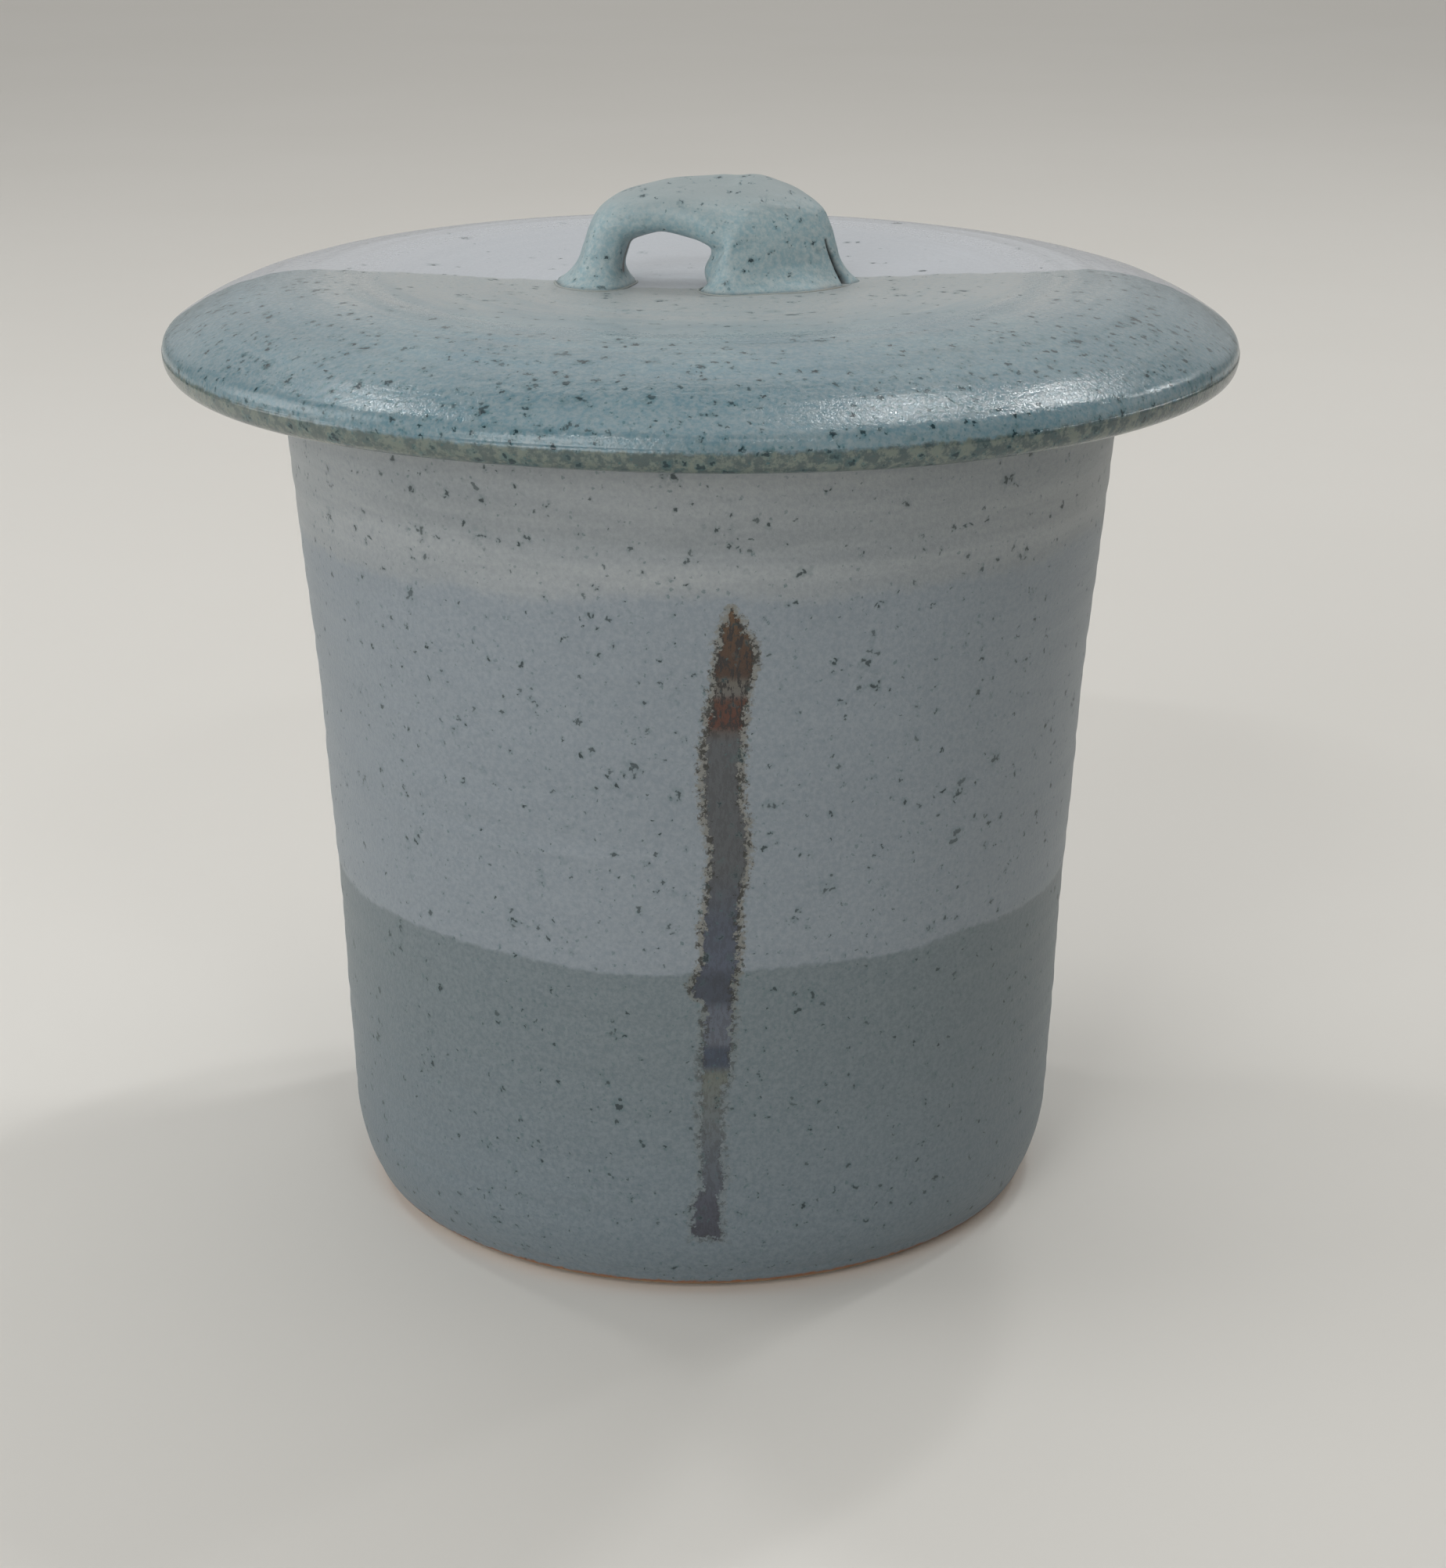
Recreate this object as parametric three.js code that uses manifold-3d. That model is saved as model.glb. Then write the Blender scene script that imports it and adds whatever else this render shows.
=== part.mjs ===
// A thrown stoneware powder jar: a turned body, a wide dished lid that drops into its mouth,
// and a hand-pulled strap handle on the lid.
// Millimetres, +Z up. The origin is the centre of the foot, on the surface the jar stands on.
// The painted front of the jar faces -Y.

import * as THREE from "three";
import { mergeVertices } from "three/addons/utils/BufferGeometryUtils.js";
import Module from "manifold-3d";

// ---- driving dimensions: body ----
const BODY_HEIGHT = 104; // foot to the flat rim that the lid rests on
const RIM_RADIUS = 50.4; // outside of the wall at the rim
const MID_RADIUS = 46.6; // outside of the wall half way up
const HEEL_RADIUS = 44.4; // outside of the wall just above the rounded heel
const HEEL_HEIGHT = 11; // where the heel's curve meets the wall
const BASE_RADIUS = 42.3; // outside of the heel just above the foot's bevel
const HEEL_EASE = 0.3; // how far the heel's curve is flatter than a full round
const WALL = 5; // wall thickness
const FLOOR = 7.5; // height of the inside floor above the table
const INSIDE_CORNER = 9; // fillet between floor and wall inside
const RIM_EDGE = 0.9; // softened edges of the rim
const FOOT_BEVEL = 2.4; // trimmed bevel between foot and heel
const FOOT_WIDTH = 6.2; // flat ring that stands on the table
const FOOT_RECESS = 1.8; // depth of the trimmed hollow under the foot

// ---- driving dimensions: lid ----
const OVERHANG = 13.3; // how far the lid's widest circle stands out past the rim
const LID_EDGE_RISE = 1.7; // widest circle above the seat
const LIP_DROP = 2.8; // lowest point of the lip under the widest circle
const LIP_REACH = 2.6; // how far inside the widest circle that lowest point is
const CREST_RISE = 2.1; // crest of the lip above the widest circle
const CREST_INSET = 1.3; // how far inside the widest circle that crest is
const CENTRE_RISE = 6.3; // lid's middle above the widest circle
const RING_RISE = 7.4; // the raised ring above the widest circle
const RING_INSET = 20.7; // the raised ring's distance in from the widest circle
const SHOULDER_RISE = 5.6; // the falling shoulder above the widest circle
const SHOULDER_INSET = 8.7; // the shoulder's distance in from the widest circle
const LID_THICKNESS = 6; // clay at the lid's middle
const UNDERSIDE_HOLLOW = 0.9; // how far the overhang's underside is hollowed above the seat
const SEAT_MARGIN = 1.6; // flat seat beyond the rim's outside
const FLANGE_DEPTH = 8; // locating flange below the seat
const FLANGE_WALL = 4; // thickness of that flange
const FLANGE_EDGE = 1; // softened edges of the flange
const CEILING_CORNER = 3; // fillet under the lid's middle

// ---- driving dimensions: strap handle ----
const STRAP_THICKNESS = 5.2; // the strap's thickness
const TAIL_WIDTH = 9.4; // its width at the left foot
const HEAD_WIDTH = 15.8; // its width at the right foot
const STRAP_RISE = 12.4; // top of the strap above the lid's middle
const LEFT_FOOT = -13; // middle of the left foot along X
const RIGHT_FOOT = 8.4; // middle of the right foot along X
const FRONT_LEAN = 3.2; // how far forward the right foot stands
const HEAD_TURN = 62; // degrees that the strap has twisted by its right foot
const FOOT_FLARE = 2.2; // how much each foot spreads all round where it is pressed on
const FLARE_HEIGHT = 5; // height over which it spreads
const FLARE_FADE = 3; // how quickly the spread dies away, as a power
const SECTION_POWER = 0.75; // 1 is an oval section, less is squarer

// The strap's middle line, left foot to right foot: share of the span between the feet,
// height as a share of the rise, and share of the lean, the twist and the change of width.
const STRAP_LINE = [
  [-0.01, -0.2, 0, 0],
  [0.08, 0.32, 0, 0],
  [0.14, 0.56, 0, 0.02],
  [0.38, 0.71, 0, 0.1],
  [0.6, 0.72, 0.2, 0.3],
  [0.74, 0.7, 0.38, 0.45],
  [0.87, 0.63, 0.62, 0.68],
  [0.99, 0.45, 0.88, 0.94],
  [1.01, 0.06, 1, 1],
  [1, -0.2, 1, 1],
];

// ---- clearances ----
const SEAT_GAP = 0.3; // lid above rim
const MOUTH_CLEARANCE = 1; // flange inside the mouth at its tightest, all round
const LUTE_GAP = 0.3; // strap handle above the lid
const WELD_DISTANCE = 1e-4; // points closer than this are one
const QUARTER_TURN = Math.PI / 2; // brings a lathed piece's axis to +Z

// ---- fineness ----
const TURNS = 64; // facets round a lathed piece
const CURVE_STEPS = 5; // segments in each curved stretch of a profile
const LONG_STEPS = 7; // segments in each long curve
const STRAP_STEPS = 40; // sections along the strap
const STRAP_SIDES = 20; // corners of a section
const SEARCH_STEPS = 400; // points looked through to find a radius on the wall

// ---- derived places ----
const LID_RADIUS = RIM_RADIUS + OVERHANG;
const RING_RADIUS = LID_RADIUS - RING_INSET;
const SEAT = BODY_HEIGHT + SEAT_GAP;
const EDGE = SEAT + LID_EDGE_RISE;
const LID_TOP = EDGE + CENTRE_RISE;
const CEILING = LID_TOP - LID_THICKNESS;
const MOUTH_RADIUS = RIM_RADIUS - WALL;
const INSIDE_CORNER_TOP = FLOOR + INSIDE_CORNER;
const FLANGE_FOOT = SEAT - FLANGE_DEPTH;
const FLANGE_OUTER = insideRadiusAt(FLANGE_FOOT) - MOUTH_CLEARANCE;
const FLANGE_INNER = FLANGE_OUTER - FLANGE_WALL;
const SHOULDER_RADIUS = LID_RADIUS - SHOULDER_INSET;

const wasm = await Module();
wasm.setup();

const slate = new THREE.MeshStandardMaterial({ color: 0x878e96, roughness: 0.5, metalness: 0 });
const teal = new THREE.MeshStandardMaterial({ color: 0x8ca0a5, roughness: 0.25, metalness: 0 });

/** A closed solid turned about +Z from an outline of [radius, height] stretches. */
function turned(outline) {
  const points = outline.flat();
  return new THREE.LatheGeometry(points, TURNS).rotateX(QUARTER_TURN);
}

/** One corner point of an outline. */
function corner(radius, height) {
  return [new THREE.Vector2(radius, height)];
}

/** A curved stretch of an outline, rounded through one control point, ends included. */
function bend(from, control, to, steps = CURVE_STEPS) {
  const ends = [from, control, to].map(([radius, height]) => new THREE.Vector2(radius, height));
  return new THREE.QuadraticBezierCurve(...ends).getPoints(steps);
}

/** A smooth stretch of an outline through all its points. */
function sweep(stations, steps = LONG_STEPS) {
  const points = stations.map(([radius, height]) => new THREE.Vector2(radius, height));
  return new THREE.SplineCurve(points).getPoints(steps);
}

/** The wall from heel to rim, moved in by an inset. */
function wallStations(inset, lowest, highest) {
  const middle = (HEEL_HEIGHT + BODY_HEIGHT) / 2;
  return [
    [HEEL_RADIUS - inset, lowest],
    [MID_RADIUS - inset, middle],
    [RIM_RADIUS - inset, highest],
  ];
}

/** The wall's inside radius at a height, where the lid's flange reaches down to. */
function insideRadiusAt(height) {
  const inside = sweep(wallStations(WALL, INSIDE_CORNER_TOP, BODY_HEIGHT - RIM_EDGE), SEARCH_STEPS);
  return inside.find((point) => point.y >= height).x;
}

/** The jar itself: recessed foot, rounded heel, opening wall, flat rim and hollow inside. */
function jarBody() {
  const footOuter = BASE_RADIUS - FOOT_BEVEL;
  const footInner = footOuter - FOOT_WIDTH;
  return turned([
    corner(0, FOOT_RECESS),
    corner(footInner - FOOT_RECESS, FOOT_RECESS),
    corner(footInner, 0),
    corner(footOuter, 0),
    bend([footOuter + FOOT_BEVEL / 2, FOOT_BEVEL / 4], [BASE_RADIUS, FOOT_BEVEL / 2],
      [BASE_RADIUS, FOOT_BEVEL]),
    bend([BASE_RADIUS, FOOT_BEVEL], [HEEL_RADIUS - HEEL_EASE, HEEL_HEIGHT / 2],
      [HEEL_RADIUS, HEEL_HEIGHT]).slice(1),
    sweep(wallStations(0, HEEL_HEIGHT, BODY_HEIGHT - RIM_EDGE)).slice(1),
    corner(RIM_RADIUS - RIM_EDGE, BODY_HEIGHT),
    corner(MOUTH_RADIUS + RIM_EDGE, BODY_HEIGHT),
    sweep(wallStations(WALL, INSIDE_CORNER_TOP, BODY_HEIGHT - RIM_EDGE)).reverse(),
    bend([HEEL_RADIUS - WALL, INSIDE_CORNER_TOP], [HEEL_RADIUS - WALL, FLOOR],
      [HEEL_RADIUS - WALL - INSIDE_CORNER, FLOOR]).slice(1),
    corner(0, FLOOR),
  ]);
}

/** The lid's upper surface, from the middle to the widest circle, raised by a gap. */
function lidTopStations(gap = 0) {
  const flat = RING_RADIUS / 2;
  return [
    [0, LID_TOP + gap],
    [flat, LID_TOP + gap],
    [RING_RADIUS, EDGE + RING_RISE + gap],
    [SHOULDER_RADIUS, EDGE + SHOULDER_RISE + gap],
    [LID_RADIUS - CREST_INSET, EDGE + CREST_RISE + gap],
    [LID_RADIUS, EDGE + gap],
  ];
}

/** The lid: locating flange, flat seat, hollowed overhang, drooping lip and dished top. */
function lid() {
  const seatOuter = RIM_RADIUS + SEAT_MARGIN;
  const lipInner = LID_RADIUS - LIP_REACH;
  const hollowMiddle = (seatOuter + lipInner) / 2;
  return turned([
    corner(0, CEILING),
    bend([FLANGE_INNER - CEILING_CORNER, CEILING], [FLANGE_INNER, CEILING],
      [FLANGE_INNER, CEILING - CEILING_CORNER]),
    corner(FLANGE_INNER, FLANGE_FOOT + FLANGE_EDGE),
    corner(FLANGE_INNER + FLANGE_EDGE, FLANGE_FOOT),
    corner(FLANGE_OUTER - FLANGE_EDGE, FLANGE_FOOT),
    corner(FLANGE_OUTER, FLANGE_FOOT + FLANGE_EDGE),
    corner(FLANGE_OUTER, SEAT),
    corner(seatOuter, SEAT),
    corner(hollowMiddle, SEAT + UNDERSIDE_HOLLOW),
    bend([lipInner, EDGE - LIP_DROP], [LID_RADIUS, EDGE - LIP_DROP], [LID_RADIUS, EDGE]),
    sweep(lidTopStations(), 2 * LONG_STEPS).reverse().slice(1),
  ]);
}

/** A closed mesh as a manifold-3d solid. */
function solidOf(geometry) {
  const plain = geometry.clone();
  plain.deleteAttribute("normal");
  plain.deleteAttribute("uv");
  const merged = mergeVertices(plain, WELD_DISTANCE);
  return new wasm.Manifold(new wasm.Mesh({
    numProp: 3,
    vertProperties: merged.attributes.position.array,
    triVerts: new Uint32Array(merged.index.array),
  }));
}

/** A manifold-3d solid as a three.js geometry. */
function geometryOf(solid) {
  const mesh = solid.getMesh();
  const geometry = new THREE.BufferGeometry();
  geometry.setAttribute("position", new THREE.BufferAttribute(mesh.vertProperties, 3));
  geometry.setIndex(new THREE.BufferAttribute(mesh.triVerts, 1));
  geometry.computeVertexNormals();
  return geometry;
}

/** The strap's middle line, as a smooth curve. */
function strapPath() {
  return new THREE.CatmullRomCurve3(STRAP_LINE.map(([span, rise, lean]) => new THREE.Vector3(
    THREE.MathUtils.lerp(LEFT_FOOT, RIGHT_FOOT, span),
    -FRONT_LEAN * lean,
    LID_TOP + STRAP_RISE * rise)));
}

/** How far the strap has changed from its tail to its head, at a share of the curve's parameter. */
function strapChange(t) {
  const place = t * (STRAP_LINE.length - 1);
  const before = Math.min(Math.floor(place), STRAP_LINE.length - 2);
  return THREE.MathUtils.lerp(STRAP_LINE[before][3], STRAP_LINE[before + 1][3], place - before);
}

/** One section of the strap, its corners counter-clockwise about the way the strap runs. */
function strapSection(path, t) {
  const centre = path.getPoint(t);
  const along = path.getTangent(t);
  const change = strapChange(t);
  const turn = THREE.MathUtils.degToRad(HEAD_TURN) * change;
  const towardsFront = new THREE.Vector3(0, -1, 0);
  const over = new THREE.Vector3().crossVectors(along, new THREE.Vector3(0, 1, 0)).normalize();
  const face = over.multiplyScalar(Math.cos(turn)).addScaledVector(towardsFront, Math.sin(turn));
  face.addScaledVector(along, -face.dot(along)).normalize();
  const across = new THREE.Vector3().crossVectors(along, face);
  const height = THREE.MathUtils.clamp((centre.z - LID_TOP) / FLARE_HEIGHT, 0, 1);
  const flare = FOOT_FLARE * (1 - height) ** FLARE_FADE;
  const halfWidth = THREE.MathUtils.lerp(TAIL_WIDTH, HEAD_WIDTH, change) / 2 + flare;
  const halfThickness = STRAP_THICKNESS / 2 + flare;
  return Array.from({ length: STRAP_SIDES }, (_, side) => {
    const angle = (side / STRAP_SIDES) * 2 * Math.PI;
    const squared = (value) => Math.sign(value) * Math.abs(value) ** SECTION_POWER;
    return centre.clone()
      .addScaledVector(across, halfWidth * squared(Math.cos(angle)))
      .addScaledVector(face, halfThickness * squared(Math.sin(angle)));
  });
}

/** The whole strap, closed at both ends inside the lid. */
function wholeStrap() {
  const path = strapPath();
  const sections = Array.from({ length: STRAP_STEPS + 1 }, (_, i) => strapSection(path, i / STRAP_STEPS));
  const ends = [path.getPoint(0), path.getPoint(1)];
  const positions = [...sections.flat(), ...ends].flatMap((point) => point.toArray());
  const index = [];
  const at = (section, side) => section * STRAP_SIDES + (side % STRAP_SIDES);
  for (let i = 0; i < STRAP_STEPS; i++) {
    for (let side = 0; side < STRAP_SIDES; side++) {
      index.push(at(i, side), at(i + 1, side), at(i, side + 1));
      index.push(at(i, side + 1), at(i + 1, side), at(i + 1, side + 1));
    }
  }
  const first = sections.length * STRAP_SIDES;
  for (let side = 0; side < STRAP_SIDES; side++) {
    index.push(first, at(0, side), at(0, side + 1));
    index.push(first + 1, at(STRAP_STEPS, side + 1), at(STRAP_STEPS, side));
  }
  const geometry = new THREE.BufferGeometry();
  geometry.setAttribute("position", new THREE.Float32BufferAttribute(positions, 3));
  geometry.setIndex(index);
  return geometry;
}

/** The strap handle, its feet cut to the lid's dished surface. */
function strapHandle() {
  const clearOfLid = turned([
    corner(0, FLANGE_FOOT),
    corner(LID_RADIUS, FLANGE_FOOT),
    sweep(lidTopStations(LUTE_GAP), 2 * LONG_STEPS).reverse(),
  ]);
  return geometryOf(solidOf(wholeStrap()).subtract(solidOf(clearOfLid)));
}

/** A named mesh of one piece. */
function piece(name, geometry, material) {
  const mesh = new THREE.Mesh(geometry, material);
  mesh.name = name;
  return mesh;
}

const jar = new THREE.Group();
jar.add(piece("jar_body", jarBody(), slate));

const cover = new THREE.Group();
cover.add(piece("lid", lid(), teal));
cover.add(piece("strap_handle", strapHandle(), teal));
jar.add(cover);

export default jar;
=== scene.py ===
"""The looks of a thrown stoneware powder jar: turned body, dished lid and hand-pulled strap handle.

Sizes are in millimetres inside the classes and in metres in Blender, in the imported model's frame: +Z is up,
the origin is the middle of the foot, and the painted front of the jar faces -Y.
"""

import logging
import math
from dataclasses import dataclass, replace
from enum import Enum

import bmesh
import bpy
import numpy as np
from mathutils import Matrix, Vector


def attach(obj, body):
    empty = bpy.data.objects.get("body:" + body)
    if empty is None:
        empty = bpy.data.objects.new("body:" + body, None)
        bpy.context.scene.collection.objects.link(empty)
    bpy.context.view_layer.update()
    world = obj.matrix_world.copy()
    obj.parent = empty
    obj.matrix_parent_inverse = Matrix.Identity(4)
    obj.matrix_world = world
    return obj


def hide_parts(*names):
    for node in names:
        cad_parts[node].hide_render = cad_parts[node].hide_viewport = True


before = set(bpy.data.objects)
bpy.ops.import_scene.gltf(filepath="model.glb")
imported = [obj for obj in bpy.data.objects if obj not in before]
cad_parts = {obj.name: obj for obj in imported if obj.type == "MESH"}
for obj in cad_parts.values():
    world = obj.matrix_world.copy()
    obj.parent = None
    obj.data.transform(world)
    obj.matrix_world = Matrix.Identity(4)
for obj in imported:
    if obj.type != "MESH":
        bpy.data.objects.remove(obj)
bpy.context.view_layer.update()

MM = 0.001
GLASSY_IOR = 1.5
RELIEF = 0.08 * MM
LOG = logging.getLogger("powder_jar")

Colour = tuple[float, float, float]
Socket = bpy.types.NodeSocket
Wire = Socket | float | tuple[float, ...]


class Body(Enum):
    """The two things that move apart."""

    JAR = "jar"
    LID = "lid"


class Slot(Enum):
    """The record's material slots."""

    SLATE = "slate_glaze"
    TEAL = "teal_glaze"


def tint(red: int, green: int, blue: int) -> Colour:
    """Turns a colour as mixed on the palette into the linear light that a shader takes.

    Args:
        red: its red, 0 to 255.
        green: its green.
        blue: its blue.

    Returns:
        The colour in linear light.
    """

    def linear(level: float) -> float:
        """One channel of it."""
        share = level / 255.0
        return share / 12.92 if share <= 0.04045 else ((share + 0.055) / 1.055) ** 2.4

    return (linear(red), linear(green), linear(blue))


# ---------------------------------------------------------------- node sheets


class NodeSheet:
    """A node tree being wired up, one call for each node."""

    def __init__(self, tree: bpy.types.NodeTree) -> None:
        """Starts on an empty tree.

        Args:
            tree: the node tree to fill.
        """
        self.tree = tree
        self.tree.nodes.clear()

    def node(self, kind: str, **settings: object) -> bpy.types.Node:
        """Adds one node.

        Args:
            kind: Blender's name for the node.
            settings: properties to set on it.

        Returns:
            The new node.
        """
        made = self.tree.nodes.new(kind)
        for name, value in settings.items():
            setattr(made, name, value)
        return made

    def feed(self, socket: Socket, value: Wire) -> None:
        """Links a socket to another one, or sets its own value.

        Args:
            socket: the input to feed.
            value: an output socket, a number, or a colour or vector.
        """
        if isinstance(value, bpy.types.NodeSocket):
            self.tree.links.new(value, socket)
        elif isinstance(value, tuple) and len(value) == 3 and socket.type == "RGBA":
            socket.default_value = (*value, 1.0)
        else:
            socket.default_value = value

    def sums(self, kind: str, operation: str, values: tuple[Wire, ...]) -> bpy.types.Node:
        """Adds a node that does sums.

        Args:
            kind: Blender's name for the node.
            operation: Blender's name for the sum.
            values: what goes in.

        Returns:
            The new node.
        """
        made = self.node(kind, operation=operation)
        for socket, value in zip(made.inputs, values):
            self.feed(socket, value)
        return made

    def math(self, operation: str, *values: Wire) -> Socket:
        """The result of a sum with one to three values."""
        return self.sums("ShaderNodeMath", operation, values).outputs[0]

    def times(self, first: Wire, second: Wire) -> Socket:
        """One value times another."""
        return self.math("MULTIPLY", first, second)

    def vector_math(self, operation: str, *values: Wire) -> Socket:
        """The result of a sum with vectors, a number if it measures a length."""
        made = self.sums("ShaderNodeVectorMath", operation, values)
        return made.outputs["Value" if operation == "LENGTH" else "Vector"]

    def scaled(self, vector: Socket, factor: Wire) -> Socket:
        """Multiplies a vector by a number.

        Args:
            vector: the vector.
            factor: the number.

        Returns:
            The longer or shorter vector.
        """
        made = self.node("ShaderNodeVectorMath", operation="SCALE")
        self.feed(made.inputs[0], vector)
        self.feed(made.inputs["Scale"], factor)
        return made.outputs["Vector"]

    def split(self, vector: Socket) -> tuple[Socket, Socket, Socket]:
        """Takes a vector apart.

        Args:
            vector: the vector.

        Returns:
            Its three parts.
        """
        made = self.node("ShaderNodeSeparateXYZ")
        self.feed(made.inputs[0], vector)
        return made.outputs[0], made.outputs[1], made.outputs[2]

    def join(self, x: Wire, y: Wire, z: Wire) -> Socket:
        """Makes a vector of three values.

        Args:
            x: its part to the right.
            y: its part to the back.
            z: its part upwards.

        Returns:
            The vector.
        """
        made = self.node("ShaderNodeCombineXYZ")
        for socket, value in zip(made.inputs, (x, y, z)):
            self.feed(socket, value)
        return made.outputs[0]

    def noise(self, vector: Socket, scale: Wire, detail: float = 2.0, rough: float = 0.5) -> Socket:
        """Soft noise around a half.

        Args:
            vector: where it is read.
            scale: how many features there are per unit.
            detail: how many finer layers it has.
            rough: how strong those are.

        Returns:
            The noise, about 0.3 to 0.7.
        """
        made = self.node("ShaderNodeTexNoise", noise_dimensions="3D")
        self.feed(made.inputs["Vector"], vector)
        self.feed(made.inputs["Scale"], scale)
        self.feed(made.inputs["Detail"], detail)
        self.feed(made.inputs["Roughness"], rough)
        return made.outputs[0]

    def fade(self, value: Wire, low: Wire, high: Wire, start: Wire = 0.0, end: Wire = 1.0) -> Socket:
        """A smooth step.

        Args:
            value: what is measured.
            low: where the step starts.
            high: where it ends.
            start: the result below it.
            end: the result above it.

        Returns:
            The result.
        """
        made = self.node("ShaderNodeMapRange", interpolation_type="SMOOTHSTEP")
        for name, given in zip(
            ("Value", "From Min", "From Max", "To Min", "To Max"), (value, low, high, start, end)
        ):
            self.feed(made.inputs[name], given)
        return made.outputs["Result"]

    def blend(self, share: Wire, under: Wire, over: Wire) -> Socket:
        """Lays one colour over another.

        Args:
            share: how much of the upper colour shows.
            under: the lower colour.
            over: the upper colour.

        Returns:
            The colour.
        """
        made = self.node("ShaderNodeMix", data_type="RGBA")
        self.feed(made.inputs[0], share)
        self.feed(made.inputs[6], under)
        self.feed(made.inputs[7], over)
        return made.outputs[2]

    def between(self, share: Wire, low: Wire, high: Wire) -> Socket:
        """Picks a number between two others.

        Args:
            share: how far from the first to the second.
            low: the first.
            high: the second.

        Returns:
            The number.
        """
        made = self.node("ShaderNodeMix", data_type="FLOAT")
        self.feed(made.inputs[0], share)
        self.feed(made.inputs[2], low)
        self.feed(made.inputs[3], high)
        return made.outputs[0]

    def curve(self, value: Wire, points: tuple[tuple[float, float], ...]) -> Socket:
        """A smooth curve through points whose places and values are from 0 to 1.

        Args:
            value: where along it.
            points: its points, in order.

        Returns:
            Its height there.
        """
        made = self.node("ShaderNodeFloatCurve")
        line = made.mapping.curves[0]
        while len(line.points) < len(points):
            line.points.new(0.5, 0.5)
        for point, place in zip(line.points, points):
            point.location = place
            point.handle_type = "AUTO_CLAMPED"
        made.mapping.update()
        self.feed(made.inputs["Value"], value)
        return made.outputs[0]

    def bump(self, height: Socket, depth: float) -> Socket:
        """Relief from a height, as a normal.

        Args:
            height: 0 to 1.
            depth: what 1 stands for, in metres.

        Returns:
            The normal.
        """
        made = self.node("ShaderNodeBump")
        self.feed(made.inputs["Distance"], depth)
        self.feed(made.inputs["Height"], height)
        return made.outputs["Normal"]

    def painted(self, name: str) -> Socket:
        """A value that the mesh carries at each of its points."""
        return self.node("ShaderNodeAttribute", attribute_name=name).outputs["Fac"]

    def surface(self, colour: Socket, rough: Wire, normal: Socket | None = None) -> None:
        """Ends a finish with its surface.

        Args:
            colour: its base colour.
            rough: its roughness.
            normal: its relief, if it has any.
        """
        shader = self.node("ShaderNodeBsdfPrincipled")
        self.feed(shader.inputs["Base Color"], colour)
        self.feed(shader.inputs["Roughness"], rough)
        if normal is not None:
            self.feed(shader.inputs["Normal"], normal)
        shader.inputs["IOR"].default_value = GLASSY_IOR
        out = self.node("ShaderNodeOutputMaterial")
        self.feed(out.inputs["Surface"], shader.outputs[0])


# ---------------------------------------------------------------- shared effects


class Effect:
    """A surface effect that finishes share: one node group, made once, with named inputs and outputs."""

    NAME = "effect"
    INLETS: tuple[tuple[str, float], ...] = ()
    OUTLETS: tuple[str, ...] = ()

    def wire(self, sheet: NodeSheet, inlet: dict[str, Socket]) -> dict[str, Socket]:
        """Wires the effect.

        Args:
            sheet: the group's own sheet.
            inlet: its inputs by name.

        Returns:
            What each output gives, by name.
        """
        raise NotImplementedError

    def tree(self) -> bpy.types.NodeTree:
        """Makes the node group, or finds it again.

        Returns:
            The group.
        """
        found = bpy.data.node_groups.get(self.NAME)
        if found:
            return found
        group = bpy.data.node_groups.new(self.NAME, "ShaderNodeTree")
        group.interface.new_socket("Place", in_out="INPUT", socket_type="NodeSocketVector")
        for name, usual in self.INLETS:
            made = group.interface.new_socket(name, in_out="INPUT", socket_type="NodeSocketFloat")
            made.default_value = usual
        for name in self.OUTLETS:
            group.interface.new_socket(name, in_out="OUTPUT", socket_type="NodeSocketFloat")
        sheet = NodeSheet(group)
        way_in = sheet.node("NodeGroupInput")
        way_out = sheet.node("NodeGroupOutput")
        inlet = {socket.name: socket for socket in way_in.outputs if socket.name}
        for name, value in self.wire(sheet, inlet).items():
            sheet.feed(way_out.inputs[name], value)
        return group

    def place(self, sheet: NodeSheet, vector: Socket, **values: Wire) -> dict[str, Socket]:
        """Puts the effect in a finish.

        Args:
            sheet: the finish's sheet.
            vector: where the surface is, in metres.
            values: its other inputs, with _ for each space in a name.

        Returns:
            Its outputs by name.
        """
        made = sheet.node("ShaderNodeGroup")
        made.node_tree = self.tree()
        sheet.feed(made.inputs["Place"], vector)
        for name, value in values.items():
            sheet.feed(made.inputs[name.replace("_", " ")], value)
        return {name: made.outputs[name] for name in self.OUTLETS}


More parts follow.
